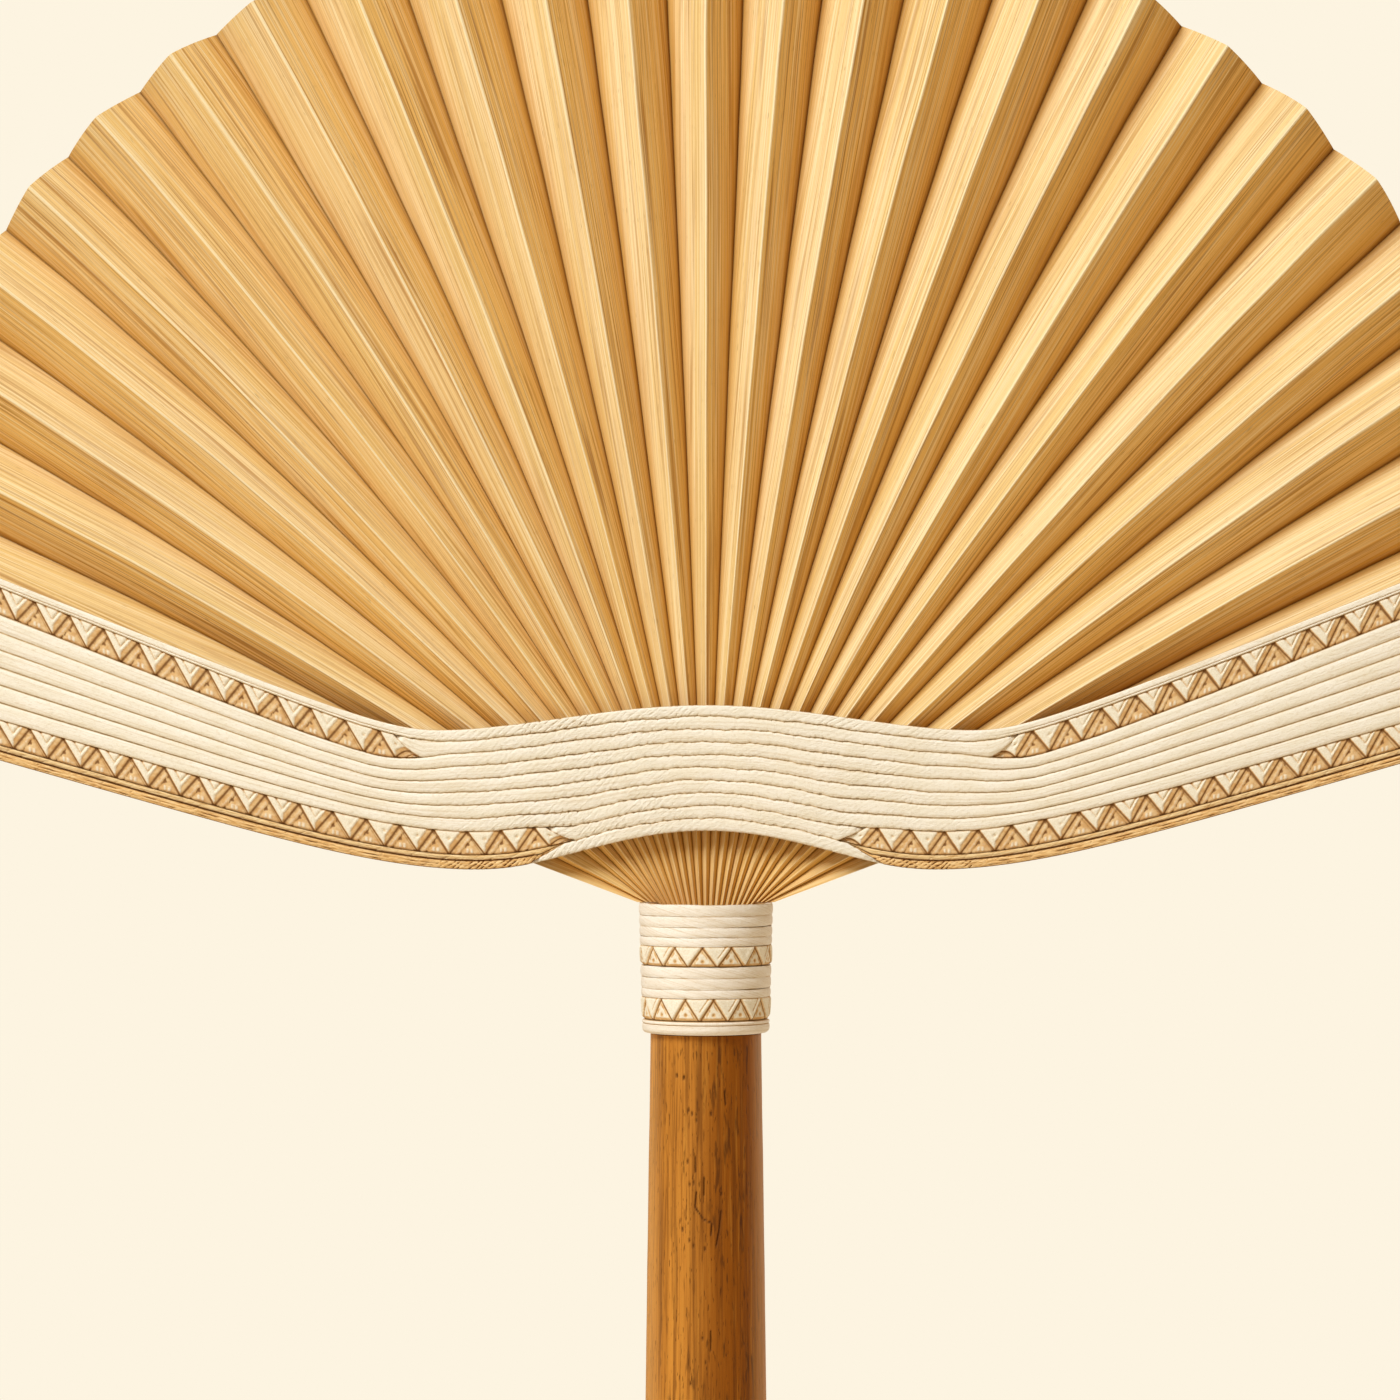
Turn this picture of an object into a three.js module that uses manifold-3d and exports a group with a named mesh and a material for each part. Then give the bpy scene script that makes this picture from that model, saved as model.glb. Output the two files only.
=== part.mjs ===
// A rigid bamboo hand fan: a pleated leaf of V-shaped bamboo splints, a band of laid cord with
// zigzag ornament across it, and a cord-bound collar that ties the leaf's root to a wooden handle.
// Sizes are millimetres and angles are degrees. The origin is the centre of the flat on the
// handle's butt, +Z runs up the handle and the decorated face looks along -Y.
import * as THREE from "three";
import { mergeVertices } from "three/addons/utils/BufferGeometryUtils.js";
import Module from "manifold-3d";

// Handle: a tapered round rod with a rounded butt
const HANDLE_LENGTH = 130;
const HANDLE_BUTT_DIAMETER = 22.2;
const HANDLE_NECK_DIAMETER = 18.65;
const BUTT_FLAT_DIAMETER = 12;
const BUTT_ROUNDING = 4.5;
const TENON_STEP = 0.65;
const HANDLE_TOP_DEPTH = 0.8;

// Root of the leaf: a flat tang pegged in a sawn slot across the handle's top
const TANG_THICKNESS = 1.5;
const TANG_INSET = 0.4;
const TANG_LENGTH = 19.4;
const TANG_TOP_DEPTH = 1.5;
const SLOT_CLEARANCE = 0.25;
const PEG_DIAMETER = 2.4;
const PEG_CLEARANCE = 0.2;
const PEG_DEPTH = 5.5;
const PEG_SPACING = 8;
const PEG_INSET = 0.4;

// Collar: cord wound on a paper sleeve, with two zigzag rings and a rim
const COLLAR_CORD = 1.3;
const COLLAR_CORD_PITCH = 1.76;
const UPPER_TURNS = 4;
const MIDDLE_TURNS = 3;
const UPPER_RING_HEIGHT = 3.4;
const LOWER_RING_HEIGHT = 3.8;
const RIM_HEIGHT = 2.5;
const RIM_ROUNDING = 0.9;
const SLEEVE_WALL_BOTTOM = 0.45;
const SLEEVE_WALL_TOP = 1.05;
const SLEEVE_FIT = 0.15;
const RING_TRIANGLES = 14;
const ROW_GAP = 0.15;

// Leaf: splints that point to one apex inside the collar, and bend under the band to fill it
const LEAF_RADIUS = 150;
const LEAF_CENTRE_RISE = 25.7;
const APEX_DEPTH = 3.7;
const SPLINTS_PER_SIDE = 12;
const SPLINT_PITCH = 4.68;
const PITCH_GROWTH = 0.0473;
const SPLINT_WALL = 0.45;
const PLEAT_DEPTH = 7.5;
const RIDGE_FLAT = 0.5;
const SCALLOP_DEPTH = 1.76;
const OUTER_RIDGE_LEAN = 1.3;
const BEND_RADIUS = 30;
const ROOT_PITCH = 0.95;
const ROOT_CROWDING = 0.129;
const ROOT_PLEAT_DEPTH = 0.56;
const ROOT_SEAT = 0.3;
const JOINT_AT_ROOT = 0.08;
const JOINT_AT_TIP = 0.26;
const GUARD_WIDTH = 3.5;
const GUARD_MARGIN = 0.55;
const RIM_SEAT = 0.3;

// Band: its upper and lower edges rise from knees into the wings and swell over the middle
const BAND_TOP_RISE = 26.9;
const BAND_TOP_SLOPE = 0.396;
const BAND_TOP_KNEE = 48.7;
const BAND_TOP_CROWN = 6.26;
const BAND_BOTTOM_RISE = -0.57;
const BAND_BOTTOM_SLOPE = 0.286;
const BAND_BOTTOM_KNEE = 32.7;
const BAND_BOTTOM_CROWN = 12.56;
const KNEE_SOFTNESS = 7.1;
const CROWN_SPREAD = 36.2;
const BOARD_THICKNESS = 0.8;
const BOARD_INSET = 0.4;
const BOARD_SEAT = 0.3;
const CORE_START = 34;
const CORE_INSET = 1;
const CORE_CLEARANCE = 0.3;

// Rows of the band, from the upper edge down
const CORD_DEPTH = 1.5;
const CORD_GAP = 0.2;
const CORD_SEAT = 0.12;
const RIM_CORD_MIDDLE = 1.95;
const RIM_CORD_WING = 1.55;
const UPPER_ROWS_MIDDLE = 4.05;
const UPPER_ROWS_WING = 5.8;
const UPPER_CHANGE = 49;
const LOWER_ROWS_MIDDLE = 4.26;
const LOWER_ROWS_WING = 6.4;
const LOWER_CHANGE = 26;
const EDGE_ROW_MIDDLE = 2.13;
const EDGE_ROW_WING = 2.45;
const EDGE_CHANGE = 29.5;
const CHANGE_LENGTH = 16;
const PLAIN_CORDS = 6;
const LAST_ROW = PLAIN_CORDS + 4;
const END_GAP = 0.6;
const ROPE_DEPTH = 2;

// Zigzag ornament: raised triangles that point down between sunk ones that point up
const ZIGZAG_PITCH = 5.7;
const ZIGZAG_BASE = 0.8;
const ZIGZAG_RELIEF = 0.5;
const ZIGZAG_SINK = 0.3;
const RAISED_INSET = 0.14;
const MARK_INSET = 0.55;
const MARK_DEPTH = 0.25;
const SUNK_INSET = 0.18;

// Heights up the handle
const COLLAR_BOTTOM = HANDLE_LENGTH;
const LOWER_RING_BOTTOM = COLLAR_BOTTOM + RIM_HEIGHT;
const MIDDLE_WINDING_BOTTOM = LOWER_RING_BOTTOM + LOWER_RING_HEIGHT;
const UPPER_RING_BOTTOM = MIDDLE_WINDING_BOTTOM + MIDDLE_TURNS * COLLAR_CORD_PITCH;
const UPPER_WINDING_BOTTOM = UPPER_RING_BOTTOM + UPPER_RING_HEIGHT;
const COLLAR_TOP = UPPER_WINDING_BOTTOM + UPPER_TURNS * COLLAR_CORD_PITCH;
const HANDLE_TOP = COLLAR_TOP - HANDLE_TOP_DEPTH;
const APEX = COLLAR_TOP - APEX_DEPTH;
const TANG_TOP = COLLAR_TOP - TANG_TOP_DEPTH;

// Radii of the handle's tenon and of the bore of the sleeve on it
const TENON_RADIUS = HANDLE_NECK_DIAMETER / 2 - TENON_STEP;
const SLEEVE_BORE = TENON_RADIUS + SLEEVE_FIT;

// Angles and lengths of the leaf
const DEGREE = Math.PI / 180;
const TIP_RADIUS = LEAF_RADIUS + LEAF_CENTRE_RISE;
const GUARD_EDGE = splintAngle(SPLINTS_PER_SIDE + 0.5) + GUARD_WIDTH * DEGREE;
const BAND_REACH = leafOutline(GUARD_EDGE) * Math.sin(GUARD_EDGE);

// Smoothness of round and curved pieces
const ROUND_STEPS = 36;
const WINDING_STEPS = 24;
const CORD_SIDES = 6;
const ROPE_SIDES = 8;
const MIDDLE_SPAN = 72;
const MIDDLE_STEPS = 26;
const WING_STEPS = 4;

const BAMBOO = { color: 0xe3b46c, roughness: 0.55, metalness: 0 };
const CREAM_CORD = { color: 0xf6e8cf, roughness: 0.85, metalness: 0 };
const TAN_ROPE = { color: 0xd39f5f, roughness: 0.75, metalness: 0 };
const BOARD = { color: 0xe9d5ae, roughness: 0.8, metalness: 0 };
const HANDLE_WOOD = { color: 0x9a5a22, roughness: 0.45, metalness: 0 };

const wasm = await Module();
wasm.setup();

const fan = new THREE.Group();

function addPiece(name, geometry, finish) {
  const mesh = new THREE.Mesh(geometry, new THREE.MeshStandardMaterial(finish));
  mesh.name = name;
  fan.add(mesh);
}

// Merges the vertices of a closed geometry and turns its faces outwards.
function closed(geometry) {
  geometry.deleteAttribute("normal");
  geometry.deleteAttribute("uv");
  const merged = mergeVertices(geometry, 1e-4);
  const index = merged.index.array;
  const corner = new THREE.Vector3();
  const second = new THREE.Vector3();
  const third = new THREE.Vector3();
  let volume = 0;
  for (let i = 0; i < index.length; i += 3) {
    corner.fromBufferAttribute(merged.attributes.position, index[i]);
    second.fromBufferAttribute(merged.attributes.position, index[i + 1]);
    third.fromBufferAttribute(merged.attributes.position, index[i + 2]);
    volume += corner.dot(second.cross(third));
  }
  if (volume < 0) index.reverse();
  return merged;
}

// A closed geometry from polygons, each a list of points in order.
function fromPolygons(polygons) {
  const corners = [];
  for (const polygon of polygons) {
    for (let i = 1; i + 1 < polygon.length; i++) {
      corners.push(polygon[0], polygon[i], polygon[i + 1]);
    }
  }
  return closed(new THREE.BufferGeometry().setFromPoints(corners));
}

// A solid through rings of points. Each ring has an even count: one side of the section in
// order, then the other side back again, so that the ends close between facing points.
function loft(rings) {
  const count = rings[0].length;
  const polygons = [];
  for (let j = 0; j + 1 < rings.length; j++) {
    for (let i = 0; i < count; i++) {
      const next = (i + 1) % count;
      polygons.push([rings[j][i], rings[j][next], rings[j + 1][next], rings[j + 1][i]]);
    }
  }
  for (let i = 0; i + 1 < count / 2; i++) {
    const pair = [i, i + 1, count - 2 - i, count - 1 - i];
    polygons.push(pair.map((p) => rings[0][p]).reverse());
    polygons.push(pair.map((p) => rings[rings.length - 1][p]));
  }
  return fromPolygons(polygons);
}

function toSolid(geometry) {
  const merged = closed(geometry);
  return new wasm.Manifold(
    new wasm.Mesh({
      numProp: 3,
      vertProperties: merged.attributes.position.array,
      triVerts: new Uint32Array(merged.index.array),
    }),
  );
}

function fromSolid(solid) {
  const mesh = solid.getMesh();
  const geometry = new THREE.BufferGeometry();
  geometry.setAttribute("position", new THREE.BufferAttribute(mesh.vertProperties, 3));
  geometry.setIndex(new THREE.BufferAttribute(mesh.triVerts, 1));
  return geometry;
}

// A turned piece whose profile lists radius and height.
function turned(profile) {
  const points = profile.map(([radius, height]) => new THREE.Vector2(radius, height));
  return new THREE.LatheGeometry(points, ROUND_STEPS).rotateX(Math.PI / 2);
}

// A round pin along Y with its middle at a height.
function crossPin(diameter, length, height) {
  return new THREE.CylinderGeometry(diameter / 2, diameter / 2, length, 16).translate(0, 0, height);
}

function pegHeights() {
  return [APEX - PEG_DEPTH, APEX - PEG_DEPTH - PEG_SPACING];
}

// Handle: butt flat, rounded edge, long taper, and a tenon for the collar
function makeHandle() {
  const flat = BUTT_FLAT_DIAMETER / 2;
  const butt = HANDLE_BUTT_DIAMETER / 2;
  const profile = [[0, 0]];
  for (const turn of [0, 15, 30, 50, 70, 90]) {
    const radius = flat + (butt - flat) * Math.sin(turn * DEGREE);
    profile.push([radius, BUTT_ROUNDING * (1 - Math.cos(turn * DEGREE))]);
  }
  profile.push([HANDLE_NECK_DIAMETER / 2, HANDLE_LENGTH]);
  profile.push([TENON_RADIUS, HANDLE_LENGTH]);
  profile.push([TENON_RADIUS, HANDLE_TOP]);
  profile.push([0, HANDLE_TOP]);
  const slotBottom = TANG_TOP - TANG_LENGTH - SLOT_CLEARANCE;
  const slot = new THREE.BoxGeometry(
    3 * TENON_RADIUS,
    TANG_THICKNESS + 2 * SLOT_CLEARANCE,
    2 * (HANDLE_TOP - slotBottom),
  ).translate(0, 0, HANDLE_TOP);
  let solid = toSolid(turned(profile)).subtract(toSolid(slot));
  for (const height of pegHeights()) {
    const hole = crossPin(PEG_DIAMETER + 2 * PEG_CLEARANCE, 4 * TENON_RADIUS, height);
    solid = solid.subtract(toSolid(hole));
  }
  addPiece("handle", fromSolid(solid), HANDLE_WOOD);
}

// Tang: a flat tongue, nearly as wide as the tenon, that the inner splints' roots stand on
function makeTang() {
  const half = TENON_RADIUS - TANG_INSET;
  const shape = new THREE.Shape();
  shape.moveTo(-half, -TANG_LENGTH);
  shape.lineTo(half, -TANG_LENGTH);
  shape.lineTo(half, 0);
  shape.lineTo(-half, 0);
  for (const height of pegHeights()) {
    const hole = new THREE.Path();
    hole.absarc(0, height - TANG_TOP, PEG_DIAMETER / 2 + PEG_CLEARANCE, 0, 2 * Math.PI, true);
    shape.holes.push(hole);
  }
  const plate = { depth: TANG_THICKNESS, bevelEnabled: false, curveSegments: 12 };
  const geometry = new THREE.ExtrudeGeometry(shape, plate)
    .rotateX(Math.PI / 2)
    .translate(0, TANG_THICKNESS / 2, TANG_TOP);
  addPiece("root_tang", closed(geometry), BAMBOO);
}

// Pegs: two bamboo dowels through the handle and the tang, flush under the sleeve
function makePegs() {
  const length = 2 * (TENON_RADIUS - PEG_INSET);
  const [upper, lower] = pegHeights();
  addPiece("root_peg_upper", closed(crossPin(PEG_DIAMETER, length, upper)), BAMBOO);
  addPiece("root_peg_lower", closed(crossPin(PEG_DIAMETER, length, lower)), BAMBOO);
}

// The sleeve's outer radius at a height, and the collar's outer radius over the cord
function sleeveRadius(z) {
  const share = (z - COLLAR_BOTTOM) / (COLLAR_TOP - COLLAR_BOTTOM);
  return SLEEVE_BORE + SLEEVE_WALL_BOTTOM + (SLEEVE_WALL_TOP - SLEEVE_WALL_BOTTOM) * share;
}

function collarRadius(z) {
  return sleeveRadius(z) + ROW_GAP + COLLAR_CORD;
}

// Sleeve: a paper tube on the tenon that carries the windings
function makeSleeve() {
  const bottom = COLLAR_BOTTOM + ROW_GAP;
  const top = COLLAR_TOP - ROW_GAP;
  const profile = [
    [SLEEVE_BORE, bottom],
    [sleeveRadius(bottom), bottom],
    [sleeveRadius(top), top],
    [SLEEVE_BORE, top],
    [SLEEVE_BORE, bottom],
  ];
  addPiece("collar_sleeve", closed(turned(profile)), BOARD);
}

// Winding: one unbroken cord whose turns lie level and climb a row across the back
function makeWinding(name, turns, bottom) {
  const start = 0.5 * Math.PI + 0.25 * Math.PI;
  const centres = [];
  for (let step = 0; step <= turns * WINDING_STEPS; step++) {
    const lap = step / WINDING_STEPS;
    const part = lap - Math.floor(lap);
    const climb = THREE.MathUtils.smoothstep(part, 0.75, 1);
    const row = Math.min(Math.floor(lap) + climb, turns - 1);
    const z = bottom + COLLAR_CORD_PITCH * (row + 0.5);
    const angle = start + 2 * Math.PI * lap;
    const radius = collarRadius(z) - COLLAR_CORD / 2;
    centres.push(new THREE.Vector3(radius * Math.cos(angle), radius * Math.sin(angle), z));
  }
  centres.splice(-WINDING_STEPS / 4);
  extendEnds(centres, COLLAR_CORD);
  addPiece(name, loft(centres.map((centre) => cordRing(centre))), CREAM_CORD);
  console.log(`${name}: least gap to itself ${leastGap(centres).toFixed(2)} mm`);
}

// Runs both ends of a path straight on for a length.
function extendEnds(path, length) {
  const first = path[0].clone().sub(path[1]).setLength(length).add(path[0]);
  const last = path[path.length - 1].clone().sub(path[path.length - 2]);
  path.push(last.setLength(length).add(path[path.length - 1]));
  path.unshift(first);
}

// The ring of a wound cord about a point, in the plane through the handle's axis.
function cordRing(centre) {
  const outward = new THREE.Vector3(centre.x, centre.y, 0).normalize();
  const ring = [];
  for (let i = 0; i < CORD_SIDES; i++) {
    const angle = (i + 0.5) * (2 * Math.PI) / CORD_SIDES;
    const point = centre.clone().addScaledVector(outward, 0.5 * COLLAR_CORD * Math.cos(angle));
    point.z += 0.5 * COLLAR_CORD * Math.sin(angle);
    ring.push(point);
  }
  return ring;
}

// The least gap between turns: centre points half a turn or more apart along the cord.
function leastGap(centres) {
  let least = Infinity;
  for (let i = 0; i < centres.length; i++) {
    for (let j = i + WINDING_STEPS / 2; j < centres.length; j++) {
      least = Math.min(least, centres[i].distanceTo(centres[j]) - COLLAR_CORD);
    }
  }
  return least;
}

// Zigzag strip. place(step, across, level) gives the point at a count of triangles along the
// strip, at 0 on the lower edge to 1 on the upper edge, and at a height over the strip's back.
function zigzagStrip(count, ring, place) {
  const polygons = [];
  const surface = (outline, stages) => {
    const flat = (at, inset, level) => {
      const middle = [0, 1].map((axis) => {
        const corners = outline.filter((corner) => !corner.onEdge);
        return corners.reduce((sum, corner) => sum + corner.at[axis], 0) / corners.length;
      });
      const moved = at.map((value, axis) => value + (middle[axis] - value) * inset);
      return place(moved[0], moved[1], level);
    };
    let before = outline.map((corner) => flat(corner.at, 0, ZIGZAG_BASE));
    for (const [inset, level] of stages) {
      const after = outline.map((corner) => flat(corner.at, inset, level));
      for (let i = 0; i < outline.length; i++) {
        const next = (i + 1) % outline.length;
        polygons.push([before[i], before[next], after[next], after[i]]);
      }
      before = after;
    }
    polygons.push(before);
    polygons.push(outline.map((corner) => flat(corner.at, 0, 0)).reverse());
  };
  const side = (from, to) => {
    polygons.push([
      place(from[0], from[1], ZIGZAG_BASE),
      place(to[0], to[1], ZIGZAG_BASE),
      place(to[0], to[1], 0),
      place(from[0], from[1], 0),
    ]);
  };
  const raised = [
    [RAISED_INSET, ZIGZAG_BASE + ZIGZAG_RELIEF],
    [MARK_INSET, ZIGZAG_BASE + ZIGZAG_RELIEF - MARK_DEPTH],
  ];
  const sunk = [[SUNK_INSET, ZIGZAG_BASE - ZIGZAG_SINK]];
  const corner = (step, across) => ({ at: [step, across], onEdge: false });
  const midpoint = (step, across) => ({ at: [step, across], onEdge: true });
  for (let i = 0; i < count; i++) {
    const top = ring ? [midpoint(i + 0.5, 1)] : [];
    surface([corner(i, 1), corner(i + 0.5, 0), corner(i + 1, 1), ...top], raised);
    if (ring) {
      side([i, 1], [i + 0.5, 1]);
      side([i + 0.5, 1], [i + 1, 1]);
    } else {
      side([i, 1], [i + 1, 1]);
    }
  }
  for (let i = ring ? 0 : 1; i < count; i++) {
    const bottom = ring ? [midpoint(i, 0)] : [];
    surface([corner(i - 0.5, 0), ...bottom, corner(i + 0.5, 0), corner(i, 1)], sunk);
    if (ring) {
      side([i + 0.5, 0], [i, 0]);
      side([i, 0], [i - 0.5, 0]);
    } else {
      side([i + 0.5, 0], [i - 0.5, 0]);
    }
  }
  if (!ring) {
    surface([corner(0, 0), corner(0.5, 0), corner(0, 1)], []);
    surface([corner(count - 0.5, 0), corner(count, 0), corner(count, 1)], []);
    side([0.5, 0], [0, 0]);
    side([count, 0], [count - 0.5, 0]);
    side([0, 0], [0, 1]);
    side([count, 1], [count, 0]);
  }
  return fromPolygons(polygons);
}

// Zigzag ring: the ornament bent round the sleeve
function makeZigzagRing(name, bottom, height) {
  const back = COLLAR_CORD - ZIGZAG_BASE - ZIGZAG_RELIEF + ROW_GAP;
  const geometry = zigzagStrip(RING_TRIANGLES, true, (step, across, level) => {
    const z = bottom + ROW_GAP + (height - 2 * ROW_GAP) * across;
    const angle = (2 * Math.PI * (step % RING_TRIANGLES)) / RING_TRIANGLES;
    const radius = sleeveRadius(z) + back + level;
    return new THREE.Vector3(radius * Math.cos(angle), radius * Math.sin(angle), z);
  });
  addPiece(name, geometry, CREAM_CORD);
}

// Rim: the rounded lower end of the collar
function makeRim() {
  const bottom = COLLAR_BOTTOM + ROW_GAP;
  const top = COLLAR_BOTTOM + RIM_HEIGHT - ROW_GAP;
  const outer = collarRadius(bottom);
  const inner = sleeveRadius(top) + ROW_GAP;
  const profile = [[inner, bottom]];
  for (const turn of [0, 30, 60, 90]) {
    const radius = outer - RIM_ROUNDING * (1 - Math.sin(turn * DEGREE));
    profile.push([radius, bottom + RIM_ROUNDING * (1 - Math.cos(turn * DEGREE))]);
  }
  profile.push([outer, top], [inner, top], [inner, bottom]);
  addPiece("collar_rim", closed(turned(profile)), CREAM_CORD);
}

// The direction of a pleat line from the vertical: whole numbers are ridges, halves are valleys.
function splintAngle(number) {
  return (SPLINT_PITCH * number + PITCH_GROWTH * number * Math.abs(number)) * DEGREE;
}

// The distance from the apex to the leaf's round edge along a direction.
function leafOutline(angle) {
  const sideways = LEAF_CENTRE_RISE * Math.sin(angle);
  return LEAF_CENTRE_RISE * Math.cos(angle) + Math.sqrt(LEAF_RADIUS ** 2 - sideways ** 2);
}

// Half the depth of a pleat at a distance from the apex.
function halfPleat(radius) {
  return (0.5 * PLEAT_DEPTH * radius) / TIP_RADIUS;
}

// Half the splint's wall measured along Y, for a pleat face of a given angular width.
function halfWall(faceAngle) {
  const steepness = PLEAT_DEPTH / TIP_RADIUS / faceAngle;
  return 0.5 * SPLINT_WALL * Math.hypot(1, steepness);
}

// Half the joint between two splints at a distance from the apex.
function halfJoint(radius) {
  return 0.5 * (JOINT_AT_ROOT + ((JOINT_AT_TIP - JOINT_AT_ROOT) * radius) / TIP_RADIUS);
}

// Where a pleat line crosses the level of the collar's rim.
function rimPlace(number) {
  const crowding = ROOT_CROWDING * (number / SPLINTS_PER_SIDE) ** 2;
  return ROOT_PITCH * number * (1 - crowding);
}

// How high over the apex a splint starts: on the tang, or over the rim if it would cut the sleeve.
function rootHeight(outerRim) {
  if (Math.abs(outerRim) < SLEEVE_BORE - RIM_SEAT) return APEX_DEPTH - TANG_TOP_DEPTH + ROOT_SEAT;
  return APEX_DEPTH + RIM_SEAT;
}

// The places of a line across and above the apex, with half its pleat's depth: at its root, at
// the bend under the band and at its tip. From the bend it runs straight over its rim place.
function lineSections(line) {
  const place = (radius) => {
    const sideways = line.sideways(radius);
    return {
      x: radius * Math.sin(line.angle) + sideways * Math.cos(line.angle),
      up: radius * Math.cos(line.angle) - sideways * Math.sin(line.angle),
      halfDepth: halfPleat(radius),
    };
  };
  const bend = place(BEND_RADIUS);
  const nearRoot = line.sideways(Math.hypot(line.rim, APEX_DEPTH));
  const rim = line.rim + nearRoot / Math.cos(line.angle);
  const lean = (bend.x - rim) / (bend.up - APEX_DEPTH);
  const x = rim + lean * (line.start - APEX_DEPTH);
  const root = { x, up: line.start, halfDepth: 0.5 * ROOT_PLEAT_DEPTH };
  return [root, bend, place(line.end)];
}

// A splint from the lines across it. Each line has a direction, a place on the rim, a sideways
// offset at a radius, a pleat height from -1 to 1, a start and an end.
function splintGeometry(lines, wall) {
  const sections = lines.map(lineSections);
  const ring = (part) => {
    const surface = (side) => {
      return sections.map((places, i) => {
        const { x, up, halfDepth } = places[part];
        return new THREE.Vector3(x, side * wall - lines[i].height * halfDepth, APEX + up);
      });
    };
    return [...surface(-1), ...surface(1).reverse()];
  };
  return loft([ring(0), ring(1), ring(2)]);
}

// Splint: one strip of bamboo folded along its middle, with its edges in the two valleys
function makeSplint(name, number) {
  const outermost = Math.abs(number) === SPLINTS_PER_SIDE;
  const lean = outermost ? Math.sign(number) * OUTER_RIDGE_LEAN * DEGREE : 0;
  const ridge = splintAngle(number) + lean;
  const start = rootHeight(rimPlace(Math.abs(number) + 0.5));
  const faces = [-1, 1].map((side) => {
    const valleyNumber = number + 0.5 * side;
    const valley = splintAngle(valleyNumber);
    const middle = 0.5 * (valley + ridge);
    return [
      {
        angle: valley,
        rim: rimPlace(valleyNumber),
        sideways: (radius) => -side * halfJoint(radius),
        height: -1,
        start,
        end: leafOutline(valley) - SCALLOP_DEPTH,
      },
      {
        angle: middle,
        rim: 0.5 * (rimPlace(valleyNumber) + rimPlace(number)),
        sideways: () => 0,
        height: 0,
        start,
        end: leafOutline(middle) - SCALLOP_DEPTH / 3,
      },
      {
        angle: ridge,
        rim: rimPlace(number),
        sideways: (radius) => (0.5 * side * RIDGE_FLAT * radius) / TIP_RADIUS,
        height: 1,
        start,
        end: leafOutline(ridge),
      },
    ];
  });
  const lines = [...faces[0], ...faces[1].reverse()];
  const widerFace = Math.abs(ridge - splintAngle(number - 0.5 * Math.sign(number || 1)));
  addPiece(name, splintGeometry(lines, halfWall(widerFace)), BAMBOO);
}

// Guard splint: the half pleat that closes the leaf at each side and stands on the collar's rim
function makeGuard(name, side) {
  const valley = splintAngle(SPLINTS_PER_SIDE + 0.5);
  const valleyRim = rimPlace(SPLINTS_PER_SIDE + 0.5);
  const edgeRim = APEX_DEPTH * Math.tan(GUARD_EDGE);
  const middle = 0.5 * (valley + GUARD_EDGE);
  const start = APEX_DEPTH + RIM_SEAT;
  const lines = [
    {
      angle: side * valley,
      rim: side * valleyRim,
      sideways: (radius) => side * halfJoint(radius),
      height: -1,
      start,
      end: leafOutline(valley) - SCALLOP_DEPTH,
    },
    {
      angle: side * middle,
      rim: 0.5 * side * (valleyRim + edgeRim),
      sideways: () => 0.5 * side * GUARD_MARGIN,
      height: 0,
      start,
      end: leafOutline(middle) - SCALLOP_DEPTH / 3,
    },
    {
      angle: side * GUARD_EDGE,
      rim: side * edgeRim,
      sideways: () => side * GUARD_MARGIN,
      height: 1,
      start,
      end: leafOutline(GUARD_EDGE),
    },
  ];
  addPiece(name, splintGeometry(lines, halfWall(GUARD_EDGE - valley)), BAMBOO);
}

// The height of one edge of the band at a distance across the fan.
function bandEdge(x, rise, slope, knee, crown) {
  const beyond = Math.abs(x) - knee;
  const wing = 0.5 * slope * (beyond + Math.hypot(beyond, KNEE_SOFTNESS));
  return COLLAR_TOP + rise + wing + crown * Math.exp(-((x / CROWN_SPREAD) ** 2));
}

function bandTop(x) {
  return bandEdge(x, BAND_TOP_RISE, BAND_TOP_SLOPE, BAND_TOP_KNEE, BAND_TOP_CROWN);
}

function bandBottom(x) {
  return bandEdge(x, BAND_BOTTOM_RISE, BAND_BOTTOM_SLOPE, BAND_BOTTOM_KNEE, BAND_BOTTOM_CROWN);
}

// The slope of the band's middle line, as an angle that rises with x.
function bandTilt(x) {
  const step = 0.5;
  const rise = bandTop(x + step) + bandBottom(x + step) - bandTop(x - step) - bandBottom(x - step);
  return Math.atan2(0.5 * rise, 2 * step);
}

// The band's width square to its middle line.
function bandWidth(x) {
  return (bandTop(x) - bandBottom(x)) * Math.cos(bandTilt(x));
}

// The height of a line that lies a distance below the upper edge, square to the band.
function bandHeight(x, below) {
  return bandTop(x) - ((bandTop(x) - bandBottom(x)) * below) / bandWidth(x);
}

// How far a row's width has changed from its value in the middle to its value in the wing.
function changed(x, place, middle, wing) {
  const half = 0.5 * CHANGE_LENGTH;
  const share = THREE.MathUtils.smoothstep(Math.abs(x), place - half, place + half);
  return middle + (wing - middle) * share;
}

// The distance below the upper edge of a line between rows: 0 is the upper edge, 1 is under the
// rim cord, 2 is over the plain cords, then one for each plain cord, and two more rows below.
function rowLine(line, x) {
  const width = bandWidth(x);
  const upper = changed(x, UPPER_CHANGE, UPPER_ROWS_MIDDLE, UPPER_ROWS_WING);
  const lower = changed(x, LOWER_CHANGE, LOWER_ROWS_MIDDLE, LOWER_ROWS_WING);
  if (line === 0) return 0;
  if (line === 1) return changed(x, UPPER_CHANGE, RIM_CORD_MIDDLE, RIM_CORD_WING);
  if (line === LAST_ROW) return width;
  if (line === LAST_ROW - 1) {
    return width - changed(x, EDGE_CHANGE, EDGE_ROW_MIDDLE, EDGE_ROW_WING);
  }
  return upper + ((width - upper - lower) * (line - 2)) / PLAIN_CORDS;
}

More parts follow.
